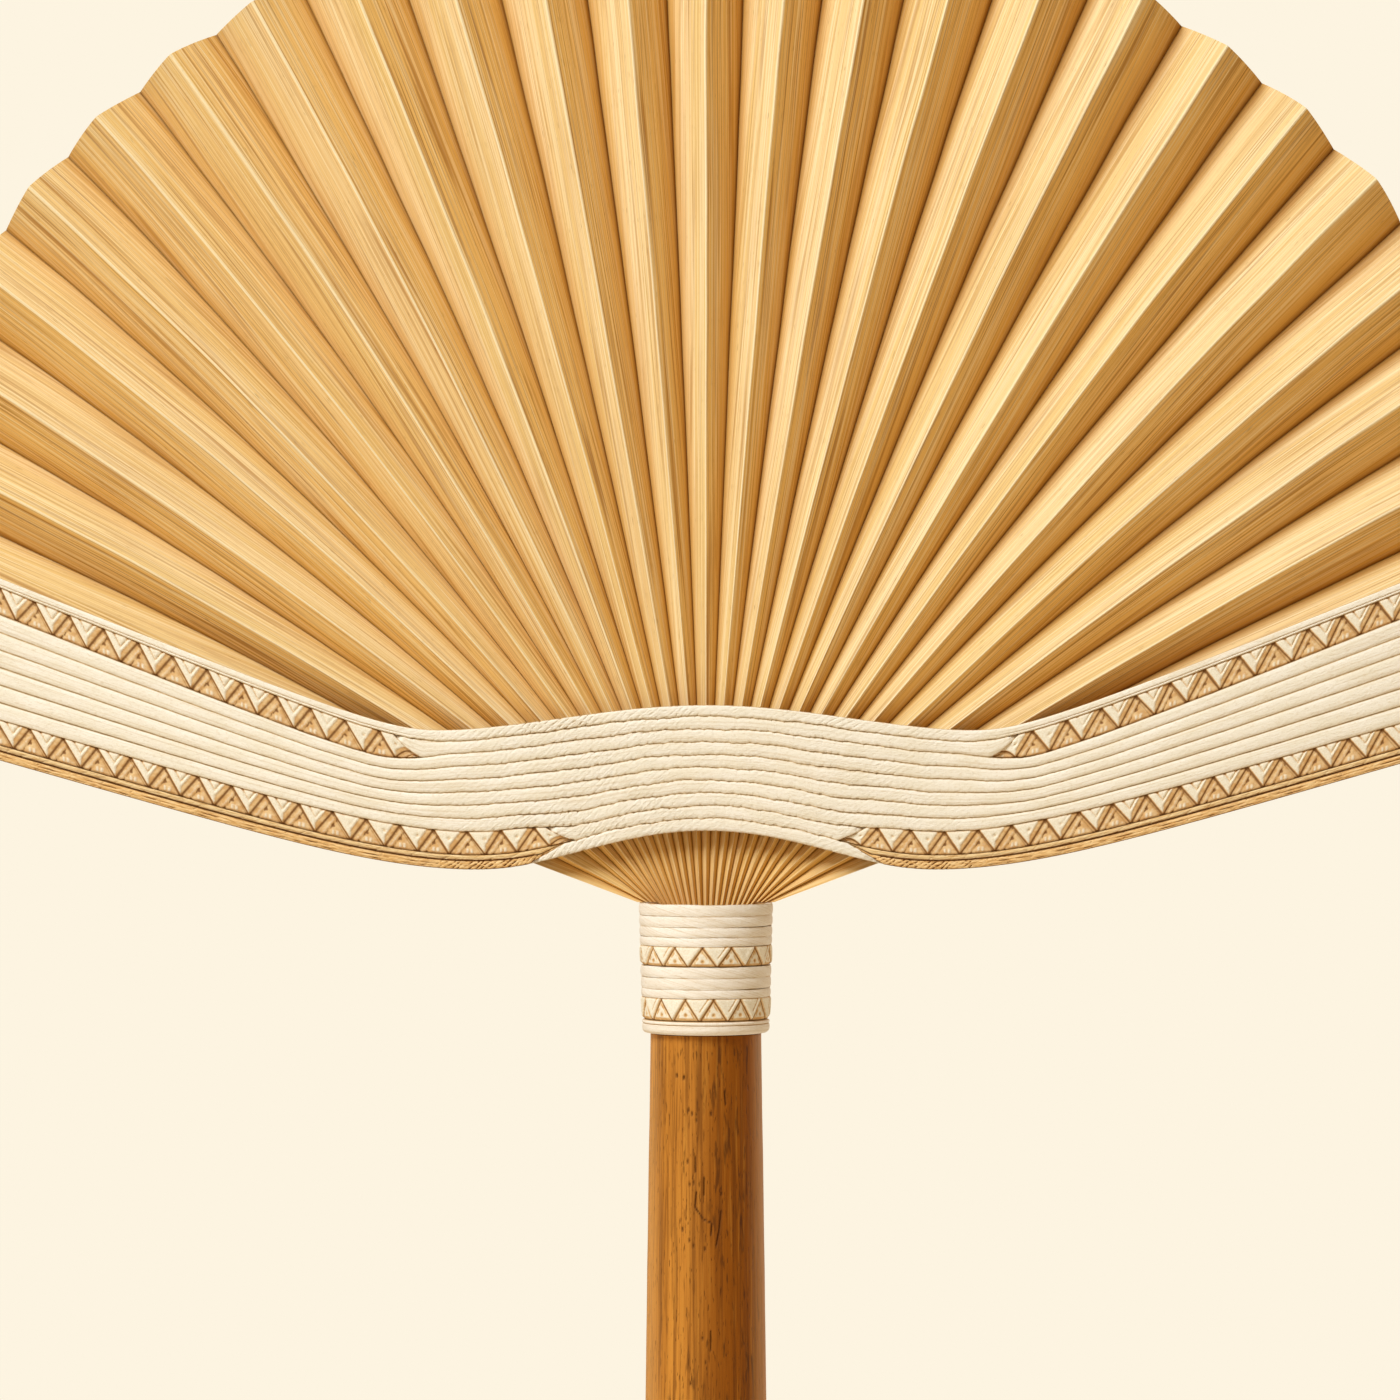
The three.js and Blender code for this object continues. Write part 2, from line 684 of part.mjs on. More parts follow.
// How far each side's board stands off the leaf's middle plane: its inner and outer face.
function boardInner(x) {
  const toTop = Math.hypot(x, bandTop(x) - APEX);
  return halfPleat(toTop) + halfWall(splintAngle(0.5)) + BOARD_SEAT;
}

function boardOuter(x) {
  return boardInner(x) + BOARD_THICKNESS;
}

// Places across the band: close steps over the curved middle, long ones in the straight wings.
function bandPlaces(from, to) {
  const places = [from];
  const middleStep = (2 * MIDDLE_SPAN) / MIDDLE_STEPS;
  const wingStep = (BAND_REACH - MIDDLE_SPAN) / WING_STEPS;
  let x = -BAND_REACH;
  while (x < to) {
    if (x > from + 0.5 && x < to - 0.5) places.push(x);
    x += Math.abs(x + 0.01) > MIDDLE_SPAN ? wingStep : middleStep;
  }
  places.push(to);
  return places;
}

// Boards: two thin shaped boards that clamp the pleats from the front and from the back
function makeBoard(name, face) {
  const rings = bandPlaces(-BAND_REACH, BAND_REACH).map((x) => {
    const top = bandHeight(x, BOARD_INSET);
    const bottom = bandHeight(x, bandWidth(x) - BOARD_INSET);
    return [
      new THREE.Vector3(x, face * boardInner(x), top),
      new THREE.Vector3(x, face * boardInner(x), bottom),
      new THREE.Vector3(x, face * boardOuter(x), bottom),
      new THREE.Vector3(x, face * boardOuter(x), top),
    ];
  });
  addPiece(name, loft(rings), BOARD);
}

// Cores: shaped battens between the boards, below the leaf's lower edge
function makeCore(name, side) {
  const edgeHeight = (x) => {
    const along = (x - GUARD_MARGIN * Math.cos(GUARD_EDGE)) / Math.sin(GUARD_EDGE);
    return APEX - GUARD_MARGIN * Math.sin(GUARD_EDGE) + along * Math.cos(GUARD_EDGE);
  };
  const rings = bandPlaces(CORE_START, BAND_REACH).map((x) => {
    const top = edgeHeight(x) - CORE_CLEARANCE / Math.sin(GUARD_EDGE);
    const bottom = bandHeight(x, bandWidth(x) - CORE_INSET);
    const depth = boardInner(x) - CORE_CLEARANCE;
    return [
      new THREE.Vector3(side * x, -depth, top),
      new THREE.Vector3(side * x, -depth, bottom),
      new THREE.Vector3(side * x, depth, bottom),
      new THREE.Vector3(side * x, depth, top),
    ];
  });
  addPiece(name, loft(rings), BAMBOO);
}

// A cord laid in a row of the band's front between two places, with drawn-in ends if they show.
function rowCord(row, from, to, sides, depth, drawnIn) {
  const places = bandPlaces(from, to);
  if (drawnIn) {
    places.splice(1, 0, from + depth / 2);
    places.splice(places.length - 1, 0, to - depth / 2);
  }
  const centreHeight = (x) => bandHeight(x, 0.5 * (rowLine(row - 1, x) + rowLine(row, x)));
  const rings = places.map((x, i) => {
    const atEnd = i === 0 || i === places.length - 1;
    const size = drawnIn && atEnd ? 0.5 : 1;
    const halfWidth = 0.5 * size * (rowLine(row, x) - rowLine(row - 1, x) - CORD_GAP);
    const tilt = Math.atan2(centreHeight(x + 0.5) - centreHeight(x - 0.5), 1);
    const y = -(boardOuter(x) + CORD_SEAT + depth / 2);
    const ring = [];
    for (let side = 0; side < sides; side++) {
      const angle = (2 * Math.PI * side) / sides;
      const across = halfWidth * Math.cos(angle);
      ring.push(
        new THREE.Vector3(
          x - across * Math.sin(tilt),
          y - 0.5 * size * depth * Math.sin(angle),
          centreHeight(x) + across * Math.cos(tilt),
        ),
      );
    }
    return ring;
  });
  return loft(rings);
}

// Cords: ten rows in the middle, of which the second and the last two stop at the ornament
function makeBandCords() {
  for (let row = 1; row <= LAST_ROW; row++) {
    let reach = BAND_REACH;
    if (row === 2) reach = UPPER_CHANGE - END_GAP;
    if (row === LAST_ROW - 1) reach = LOWER_CHANGE - END_GAP - ZIGZAG_PITCH / 2;
    if (row === LAST_ROW) reach = EDGE_CHANGE - END_GAP;
    const geometry = rowCord(row, -reach, reach, CORD_SIDES, CORD_DEPTH, reach < BAND_REACH);
    addPiece(`band_cord_${String(row).padStart(2, "0")}`, geometry, CREAM_CORD);
  }
}

// Edge ropes: a bamboo-coloured rope along the lower edge of each wing
function makeEdgeRopes() {
  const left = rowCord(LAST_ROW, -BAND_REACH, -EDGE_CHANGE, ROPE_SIDES, ROPE_DEPTH, false);
  const right = rowCord(LAST_ROW, EDGE_CHANGE, BAND_REACH, ROPE_SIDES, ROPE_DEPTH, false);
  addPiece("edge_rope_left", left, TAN_ROPE);
  addPiece("edge_rope_right", right, TAN_ROPE);
}

// Zigzag strips: the ornament of the wings, between a row line above and one below
function makeZigzag(name, side, upperLine, start) {
  const count = Math.round((BAND_REACH - start) / ZIGZAG_PITCH);
  const pitch = (BAND_REACH - start) / count;
  const geometry = zigzagStrip(count, false, (step, across, level) => {
    const x = start + step * pitch;
    const above = rowLine(upperLine, x) + CORD_GAP / 2;
    const below = rowLine(upperLine + 1, x) - CORD_GAP / 2;
    const z = bandHeight(x, below + (above - below) * across);
    return new THREE.Vector3(side * x, -(boardOuter(x) + CORD_SEAT + level), z);
  });
  addPiece(name, geometry, CREAM_CORD);
}

function makeZigzags() {
  const lowerLine = LAST_ROW - 2;
  const lowerStart = LOWER_CHANGE - ZIGZAG_PITCH / 2;
  makeZigzag("zigzag_upper_left", -1, 1, UPPER_CHANGE);
  makeZigzag("zigzag_upper_right", 1, 1, UPPER_CHANGE);
  makeZigzag("zigzag_lower_left", -1, lowerLine, lowerStart);
  makeZigzag("zigzag_lower_right", 1, lowerLine, lowerStart);
}

// Back cords: plain cords side by side, bonded into one mat on the back board
function makeBackCords() {
  const places = [];
  for (let x = -1; x < 1.01; x += 0.1) places.push(x * BAND_REACH);
  const rings = places.map((x) => {
    const inner = [];
    const outer = [];
    for (let i = 0; i <= 2 * LAST_ROW; i++) {
      const height = i % 2 ? CORD_DEPTH : 0.5 * CORD_DEPTH;
      const z = bandHeight(x, (bandWidth(x) * i) / (2 * LAST_ROW));
      const face = boardOuter(x) + CORD_SEAT;
      inner.push(new THREE.Vector3(x, face, z));
      outer.push(new THREE.Vector3(x, face + height, z));
    }
    return [...inner, ...outer.reverse()];
  });
  addPiece("band_cords_back", loft(rings), CREAM_CORD);
}

function makeLeaf() {
  let count = 0;
  for (let number = -SPLINTS_PER_SIDE; number <= SPLINTS_PER_SIDE; number++) {
    count += 1;
    makeSplint(`splint_${String(count).padStart(2, "0")}`, number);
  }
  makeGuard("guard_splint_left", -1);
  makeGuard("guard_splint_right", 1);
}

makeHandle();
makeTang();
makePegs();
makeSleeve();
makeWinding("collar_winding_upper", UPPER_TURNS, UPPER_WINDING_BOTTOM);
makeZigzagRing("collar_zigzag_upper", UPPER_RING_BOTTOM, UPPER_RING_HEIGHT);
makeWinding("collar_winding_middle", MIDDLE_TURNS, MIDDLE_WINDING_BOTTOM);
makeZigzagRing("collar_zigzag_lower", LOWER_RING_BOTTOM, LOWER_RING_HEIGHT);
makeRim();
makeLeaf();
makeBoard("band_board_front", -1);
makeBoard("band_board_back", 1);
makeCore("wing_core_left", -1);
makeCore("wing_core_right", 1);
makeBandCords();
makeEdgeRopes();
makeZigzags();
makeBackCords();

export default fan;
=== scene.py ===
"""A rigid bamboo hand fan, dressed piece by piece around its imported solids.

Sizes in each section are millimetres and degrees, in the frame of the solids: +Z runs up the
handle, the decorated face looks along -Y, and the origin is the middle of the handle's butt.
"""
import math

import bpy
import numpy as np
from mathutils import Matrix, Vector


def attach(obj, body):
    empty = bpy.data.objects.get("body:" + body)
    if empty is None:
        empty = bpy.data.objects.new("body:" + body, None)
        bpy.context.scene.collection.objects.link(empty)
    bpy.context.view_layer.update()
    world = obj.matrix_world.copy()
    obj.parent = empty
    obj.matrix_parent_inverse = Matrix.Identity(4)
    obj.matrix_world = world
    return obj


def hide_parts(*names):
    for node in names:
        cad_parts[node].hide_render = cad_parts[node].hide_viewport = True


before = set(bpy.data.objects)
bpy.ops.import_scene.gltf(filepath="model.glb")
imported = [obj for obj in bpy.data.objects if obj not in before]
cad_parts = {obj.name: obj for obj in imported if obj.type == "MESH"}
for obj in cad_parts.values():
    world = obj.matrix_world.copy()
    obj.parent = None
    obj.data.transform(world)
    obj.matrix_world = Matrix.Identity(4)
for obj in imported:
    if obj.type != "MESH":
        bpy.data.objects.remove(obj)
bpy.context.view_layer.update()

# Viewpoint: straight in front of the decorated face, level with the middle of the picture, with
# a long lens. The picture shows 235.2 mm of the fan, measured a little in front of the leaf.
MM = 0.001
PICTURE_WIDTH = 235.2
PICTURE_ACROSS = -1.0
PICTURE_UP = 186.1
PICTURE_DEPTH = -2.5
CAMERA_DISTANCE = 900

lens = bpy.data.cameras.new("lens")
lens.sensor_width = 36
lens.lens = lens.sensor_width * (CAMERA_DISTANCE + PICTURE_DEPTH) / PICTURE_WIDTH
camera = bpy.data.objects.new("camera", lens)
camera.location = (PICTURE_ACROSS * MM, -CAMERA_DISTANCE * MM, PICTURE_UP * MM)
camera.rotation_euler = (math.radians(90), 0, 0)
bpy.context.scene.collection.objects.link(camera)
bpy.context.scene.camera = camera
bpy.context.scene.view_settings.view_transform = "Standard"


def paint(code):
    """The linear colour of a six-figure colour code."""
    shades = [int(code[i:i + 2], 16) / 255 for i in (0, 2, 4)]
    return (*[s / 12.92 if s <= 0.04045 else ((s + 0.055) / 1.055) ** 2.4 for s in shades], 1)


def brush(finish, kind, inputs, **settings):
    """Adds a node to a finish. Each input, by name or place, takes a value or another node's output."""
    node = finish.node_tree.nodes.new("ShaderNode" + kind)
    for setting, value in settings.items():
        setattr(node, setting, value)
    for place, value in inputs.items():
        if isinstance(value, bpy.types.NodeSocket):
            finish.node_tree.links.new(value, node.inputs[place])
        else:
            node.inputs[place].default_value = value
    return node


def reckon(finish, how, first, second=0.0, third=0.0):
    """The result of one step of arithmetic on two or three values of a finish."""
    return brush(finish, "Math", {0: first, 1: second, 2: third}, operation=how).outputs[0]


def seen_directly(finish):
    """1 for what the camera sees straight, mirrored or through glass, and 0 for light that falls."""
    rays = brush(finish, "LightPath", {})
    mirrored = reckon(finish, "MAXIMUM", rays.outputs["Is Glossy Ray"], rays.outputs["Is Transmission Ray"])
    return reckon(finish, "MAXIMUM", rays.outputs["Is Camera Ray"], mirrored)


# Ground: a round sheet of cream paper, just large enough to keep the fan's shadow. Its colour
# fades at the rim into the same cream behind the fan, which only the camera sees.
PAPER = paint("FDF4E1")
LIT_PAPER = paint("EFE5D0")
GROUND_RADIUS = 430
GROUND_CLEAR = 330
ROOM_LIGHT = (0.40, 0.30, 0.18, 1)

room = bpy.data.worlds.new("room")
bpy.context.scene.world = room
room.use_nodes = True
room.node_tree.nodes.clear()
falling = brush(room, "Background", {"Color": ROOM_LIGHT})
behind = brush(room, "Background", {"Color": PAPER})
either = brush(room, "MixShader", {0: seen_directly(room), 1: falling.outputs[0], 2: behind.outputs[0]})
brush(room, "OutputWorld", {"Surface": either.outputs[0]})

ground_finish = bpy.data.materials.new("cream_paper_ground")
ground_finish.use_nodes = True
ground_finish.node_tree.nodes.clear()
spot = brush(ground_finish, "NewGeometry", {}).outputs["Position"]
from_middle = brush(ground_finish, "VectorMath", {0: spot}, operation="LENGTH").outputs["Value"]
fade = brush(ground_finish, "MapRange", {"Value": from_middle, "From Min": GROUND_CLEAR * MM / 2,
                                         "From Max": GROUND_CLEAR * MM})
lit_paper = brush(ground_finish, "BsdfDiffuse", {"Color": LIT_PAPER})
far_paper = brush(ground_finish, "Emission", {"Color": PAPER})
unlit = reckon(ground_finish, "MULTIPLY", fade.outputs[0], seen_directly(ground_finish))
paper = brush(ground_finish, "MixShader", {0: unlit, 1: lit_paper.outputs[0], 2: far_paper.outputs[0]})
brush(ground_finish, "OutputMaterial", {"Surface": paper.outputs[0]})

turns = np.radians(np.arange(0, 360, 3))
rim = np.stack([np.cos(turns), np.sin(turns), np.zeros_like(turns)], axis=1) * GROUND_RADIUS * MM
ground_mesh = bpy.data.meshes.new("ground")
ground_mesh.from_pydata(rim.tolist(), [], [list(range(len(rim)))])
ground_mesh.materials.append(ground_finish)
ground = bpy.data.objects.new("ground", ground_mesh)
bpy.context.scene.collection.objects.link(ground)

# Light: one round soft box near the fan, at its upper left in front, and a weaker far lamp from the
# right behind, which lights the back of the fan and rims the handle.
BOX_PLACE = (-510, -675, 995)
BOX_WIDTH = 540
BOX_LEVEL = 1.0
BOX_TONE = (0.94, 1.02, 1.07)
FAN_MIDDLE = (0, 0, 220)
BACK_TOWARD = (0.62, 0.72, 0.33)
BACK_LEVEL = 0.3
BACK_SOFTNESS = 40
BACK_TONE = (1.0, 0.95, 0.88)


def hang(name, kind, toward, place):
    """Hangs a lamp at a place, shining back from the direction that it lies in."""
    lamp = bpy.data.lights.new(name, kind)
    holder = bpy.data.objects.new(name, lamp)
    holder.rotation_euler = toward.to_track_quat("Z", "Y").to_euler()
    holder.location = place
    holder.visible_camera = False
    bpy.context.scene.collection.objects.link(holder)
    return lamp


away = (Vector(BOX_PLACE) - Vector(FAN_MIDDLE)) * MM
soft_box = hang("soft_box", "AREA", away, Vector(BOX_PLACE) * MM)
soft_box.shape = "DISK"
soft_box.size = BOX_WIDTH * MM
soft_box.energy = BOX_LEVEL * (math.pi * away.length) ** 2
soft_box.color = BOX_TONE
back_lamp = hang("back_lamp", "SUN", Vector(BACK_TOWARD), Vector(BACK_TOWARD))
back_lamp.angle = math.radians(BACK_SOFTNESS)
back_lamp.energy = BACK_LEVEL * math.pi
back_lamp.color = BACK_TONE


# Handle: one turned hardwood rod, oiled reddish brown. It swells towards its rounded butt, and its
# top is turned down to a tenon, sawn across for the leaf's tang and drilled for two pegs.
HANDLE_LENGTH = 130
BUTT_RADIUS = 11.1
NECK_RADIUS = 9.325
BUTT_FLAT_RADIUS = 6
BUTT_ROUNDING = 4.5
TENON_RADIUS = 8.675
COLLAR_TOP = 152.02
HANDLE_TOP_DEPTH = 0.8
HANDLE_TOP = COLLAR_TOP - HANDLE_TOP_DEPTH
APEX_DEPTH = 3.7
APEX = COLLAR_TOP - APEX_DEPTH
TANG_THICKNESS = 1.5
TANG_TOP_DEPTH = 1.5
TANG_TOP = COLLAR_TOP - TANG_TOP_DEPTH
TANG_LENGTH = 19.4
SLOT_CLEARANCE = 0.25
SLOT_WIDTH = TANG_THICKNESS + 2 * SLOT_CLEARANCE
SLOT_BOTTOM = TANG_TOP - TANG_LENGTH - SLOT_CLEARANCE
PEG_DEPTH = 5.5
PEG_SPACING = 8
PEG_HEIGHTS = (APEX - PEG_DEPTH, APEX - PEG_DEPTH - PEG_SPACING)
PEG_HOLE_RADIUS = 1.4
WOOD_CHECKS = (
    ((-1.60, 104.1), (-1.85, 101.6), (-0.50, 99.6), (1.00, 98.9), (0.84, 96.9)),
    ((-1.80, 110.0), (-1.78, 107.4)),
    ((-0.30, 106.6), (-0.34, 103.5)),
    ((2.55, 101.0), (2.20, 97.5), (1.70, 95.0)),
    ((3.10, 121.0), (3.30, 118.6)),
    ((0.80, 80.9), (0.78, 77.6)),
)
CHECK_WIDTH = 0.13
CHECK_DEPTH = 0.22
PORES = (
    (-3.70, 123.4), (-2.90, 117.9), (-2.35, 117.3), (-1.60, 117.2), (-1.62, 116.2), (0.82, 117.4),
    (-4.90, 123.6), (-3.10, 109.4), (-2.75, 105.6), (-2.10, 105.9), (2.60, 104.1), (-3.95, 98.1),
    (-2.80, 96.2), (-2.10, 95.4), (-0.20, 94.8), (-0.60, 80.0), (-0.05, 75.9), (-2.60, 72.4),
)
PORE_WIDTH = 0.16
PORE_LENGTH = 0.4


def wander(place, length, seed):
    """A smooth random value of about -1 to 1 that wanders along a piece over a typical length."""
    starts = np.random.default_rng(seed).uniform(0, 2 * np.pi, 4)
    shares = zip((1, 0.61, 0.37, 0.23), (0.5, 0.3, 0.25, 0.15), starts)
    return sum(size * np.sin(2 * np.pi * place / (length * share) + start) for share, size, start in shares)


def soften(value):
    """Runs from 0 to 1 with a soft start and end, for a value from 0 to 1."""
    held = np.clip(value, 0, 1)
    return held * held * (3 - 2 * held)


def stroke_depth(across, up, points, width):
    """How near each place is to a stroke through points: 1 on it and 0 well beside it."""
    nearest = np.full(np.shape(across), np.inf)
    for (x0, z0), (x1, z1) in zip(points, points[1:]):
        length = math.hypot(x1 - x0, z1 - z0)
        share = np.clip(((across - x0) * (x1 - x0) + (up - z0) * (z1 - z0)) / length ** 2, 0, 1)
        nearest = np.minimum(nearest, np.hypot(across - x0 - share * (x1 - x0), up - z0 - share * (z1 - z0)))
    return np.exp(-((nearest / width) ** 2))


def skin(name, rings, notes, looped=False, sharp=40):
    """A closed mesh over rings of points, which follow one another along the piece while each runs
    once round its section. A looped piece joins its last ring to its first. The notes are values
    at the points, which the finish reads by name."""
    rings = np.asarray(rings, float)
    index = np.arange(rings.shape[0] * rings.shape[1]).reshape(rings.shape[:2])
    here = index if looped else index[:-1]
    after = np.roll(index, -1, axis=0) if looped else index[1:]
    faces = np.stack([here, np.roll(here, -1, 1), np.roll(after, -1, 1), after], axis=-1).reshape(-1, 4)
    points = rings.reshape(-1, 3)
    a, b, c, d = (points[faces[:, corner]] for corner in range(4))
    volume = np.einsum("ij,ij->i", a, np.cross(b, c)).sum() + np.einsum("ij,ij->i", a, np.cross(c, d)).sum()
    faces = faces.tolist()
    if not looped:
        faces += [index[0][::-1].tolist(), index[-1].tolist()]
    if volume < 0:
        faces = [face[::-1] for face in faces]
    mesh = bpy.data.meshes.new(name)
    mesh.from_pydata((points * MM).tolist(), [], faces)
    for note, values in notes.items():
        values = np.asarray(values, np.float32)
        if values.ndim == 2:
            mesh.attributes.new(note, "FLOAT", "POINT").data.foreach_set("value", values.ravel())
        else:
            mesh.attributes.new(note, "FLOAT_VECTOR", "POINT").data.foreach_set("vector", values.ravel())
    mesh.shade_smooth()
    mesh.set_sharp_from_angle(angle=math.radians(sharp))
    return bpy.data.objects.new(name, mesh)


def fit(piece, finish, slot, *solids):
    """Gives a piece its finish and sets it in the fan in the place of its solids."""
    piece.data.materials.clear()
    piece.data.materials.append(finish)
    if piece.name not in bpy.context.scene.collection.objects:
        bpy.context.scene.collection.objects.link(piece)
    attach(piece, "root")
    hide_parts(*solids)


def cut(piece, tool_name, rings):
    """Cuts the shape over rings of points out of a piece."""
    tool = skin(tool_name, rings, {})
    for each in (piece, tool):
        if each.name not in bpy.context.scene.collection.objects:
            bpy.context.scene.collection.objects.link(each)
    saw = piece.modifiers.new(tool_name, "BOOLEAN")
    saw.operation = "DIFFERENCE"
    saw.object = tool
    cut_piece = piece.evaluated_get(bpy.context.evaluated_depsgraph_get())
    left = bpy.data.meshes.new_from_object(cut_piece)
    piece.modifiers.clear()
    piece.data = left
    bpy.data.objects.remove(tool)


def grain_of(finish, place, stretch, detail=3.0, roughness=0.55, warp=0.0):
    """A noise between 0 and 1 over a place, drawn out by the stretch along each direction."""
    drawn = brush(finish, "Mapping", {"Vector": place, "Scale": stretch}).outputs[0]
    inputs = {"Vector": drawn, "Scale": 1.0, "Detail": detail, "Roughness": roughness, "Distortion": warp}
    return brush(finish, "TexNoise", inputs).outputs["Fac"]


def between(finish, value, low, high):
    """Runs from 0 to 1 while a value of a finish runs from low to high, in either direction."""
    span = {"Value": value, "From Min": low, "From Max": high}
    return brush(finish, "MapRange", span, interpolation_type="SMOOTHSTEP").outputs[0]


def stain(finish, share, under, over):
    """One colour laid over another by a share."""
    return brush(finish, "Mix", {0: share, 6: under, 7: over}, data_type="RGBA").outputs[2]


def glaze(finish, colour, share, code, strength=1.0):
    """Lays the colour of a code over a colour by a share, which a strength under 1 holds back."""
    if strength < 1:
        share = reckon(finish, "MULTIPLY", share, strength)
    return stain(finish, share, colour, paint(code))


def noted(finish, note, part="Fac"):
    """The values that a piece's mesh holds under a note."""
    return brush(finish, "Attribute", {}, attribute_name=note).outputs[part]


def position(finish):
    """The place of each point in the fan's frame."""
    return brush(finish, "NewGeometry", {}).outputs["Position"]


def finished(name, gloss, sheen_level):
    """A new finish and its shader, with a plain roughness and strength of reflection."""
    finish = bpy.data.materials.new(name)
    finish.use_nodes = True
    shader = finish.node_tree.nodes["Principled BSDF"]
    shader.inputs["Roughness"].default_value = gloss
    shader.inputs["Specular IOR Level"].default_value = sheen_level
    return finish, shader


def surface(finish, shader, colour, height, relief):
    """Wires a colour and a bumpy height, in a relief of millimetres, into a shader."""
    finish.node_tree.links.new(colour, shader.inputs["Base Color"])
    bump = brush(finish, "Bump", {"Height": height, "Distance": relief * MM})
    finish.node_tree.links.new(bump.outputs[0], shader.inputs["Normal"])


def handle_wood():
    """Oiled hardwood: long dark streaks and pores along the rod. Painted shade makes it redder and darker
    towards its right side, and a painted highlight lightens both its edges.
    """
    finish, shader = finished("oiled_handle_wood", 0.55, 0.12)
    place = position(finish)
    broad = grain_of(finish, place, (190, 190, 8), 3, 0.5, 0.6)
    streaks = grain_of(finish, place, (900, 900, 20), 4, 0.6, 0.4)
    lines = grain_of(finish, place, (2400, 2400, 45), 2, 0.5)
    dashes = grain_of(finish, place, (1300, 1300, 170), 2, 0.5, 0.3)
    flecks = grain_of(finish, place, (4200, 4200, 500), 1, 0.5)
    across = brush(finish, "SeparateXYZ", {0: place}).outputs[0]
    # Painted shade: redder and darker towards the rod's right side, away from the light at the left.
    shaded_side = between(finish, across, -0.009, 0.0045)
    colour = stain(finish, shaded_side, paint("DC943C"), paint("93520A"))
    colour = glaze(finish, colour, between(finish, broad, 0.3, 0.7), "904F0C", 0.55)
    dark = between(finish, streaks, 0.47, 0.66)
    colour = glaze(finish, colour, dark, "63330A", 0.6)
    colour = glaze(finish, colour, between(finish, lines, 0.5, 0.68), "683606", 0.45)
    colour = glaze(finish, colour, between(finish, lines, 0.46, 0.3), "D0933C", 0.25)
    # The dark dashes are stronger on the painted shade side.
    dashed = reckon(finish, "MULTIPLY_ADD", shaded_side, 0.5, 0.25)
    dashed = reckon(finish, "MULTIPLY", between(finish, dashes, 0.58, 0.7), dashed)
    colour = glaze(finish, colour, dashed, "4E2809")
    pores = between(finish, flecks, 0.66, 0.74)
    colour = glaze(finish, colour, pores, "4A2407", 0.6)
    marks = noted(finish, "checks")
    colour = glaze(finish, colour, marks, "3A1A05", 0.85)
    sunk = reckon(finish, "ADD", reckon(finish, "MULTIPLY", dark, 0.5), pores)
    height = reckon(finish, "SUBTRACT", reckon(finish, "MULTIPLY", lines, 0.6), sunk)
    # Painted highlight: both edges of the rod, as seen from the front, are lighter.
    side = between(finish, reckon(finish, "ABSOLUTE", across), 0.0068, 0.0092)
    colour = glaze(finish, colour, side, "E8B068", 0.3)
    surface(finish, shader, colour, height, 0.07)
    return finish


front_azimuths = np.arange(-140, -40, 0.75)
azimuths = np.radians(np.concatenate([front_azimuths, np.arange(-40, 220, 2.5)]))
butt_turn = np.radians(np.arange(0, 91, 7.5))
heights = [BUTT_ROUNDING * (1 - np.cos(butt_turn)), np.arange(6, 62, 1.2),
           np.arange(62, HANDLE_LENGTH, 0.35)]
radii = [BUTT_FLAT_RADIUS + (BUTT_RADIUS - BUTT_FLAT_RADIUS) * np.sin(butt_turn)]
for stretch in heights[1:]:
    along = (stretch - BUTT_ROUNDING) / (HANDLE_LENGTH - BUTT_ROUNDING)
    radii.append(BUTT_RADIUS + (NECK_RADIUS - BUTT_RADIUS) * along + 0.03 * wander(stretch, 45, 3))
heights += [[HANDLE_LENGTH, HANDLE_LENGTH, HANDLE_TOP - 0.3, HANDLE_TOP]]
radii += [[NECK_RADIUS, TENON_RADIUS, TENON_RADIUS, TENON_RADIUS - 0.3]]
height = np.concatenate(heights)[:, None]
radius = np.concatenate(radii)[:, None]
across = radius * np.cos(azimuths)
checks = np.zeros(across.shape)
up = height + 0 * across
for points in WOOD_CHECKS:
    checks = np.maximum(checks, stroke_depth(across, up, points, CHECK_WIDTH))
for x, z in PORES:
    checks = np.maximum(checks, stroke_depth(across, up, ((x, z), (x + 0.02, z - PORE_LENGTH)), PORE_WIDTH))
checks = np.where((np.sin(azimuths) < 0) & (height < HANDLE_LENGTH - 1), checks, 0)
radius = radius - CHECK_DEPTH * checks
rings = np.stack([radius * np.cos(azimuths), radius * np.sin(azimuths), up], axis=-1)
turned_handle = skin("turned_handle", rings, {"checks": checks})


def block_rings(half_x, half_y, bottom, top):
    """The rings of a square block about the handle's axis."""
    corners = ((-half_x, -half_y), (half_x, -half_y), (half_x, half_y), (-half_x, half_y))
    return [[(x, y, z) for x, y in corners] for z in (bottom, top)]


def pin_rings(radius, half_length, z, steps=32):
    """The rings of a round pin that crosses the handle from front to back."""
    angles = 2 * np.pi * np.arange(steps) / steps
    return [[(radius * math.cos(a), y, z + radius * math.sin(a)) for a in angles]
            for y in (-half_length, half_length)]


cut(turned_handle, "slot_saw", block_rings(3 * TENON_RADIUS, SLOT_WIDTH / 2, SLOT_BOTTOM, HANDLE_TOP + 5))
for number, peg_height in enumerate(PEG_HEIGHTS):
    cut(turned_handle, f"peg_drill_{number}", pin_rings(PEG_HOLE_RADIUS, 2 * TENON_RADIUS, peg_height))
fit(turned_handle, handle_wood(), "handle_wood", "handle")


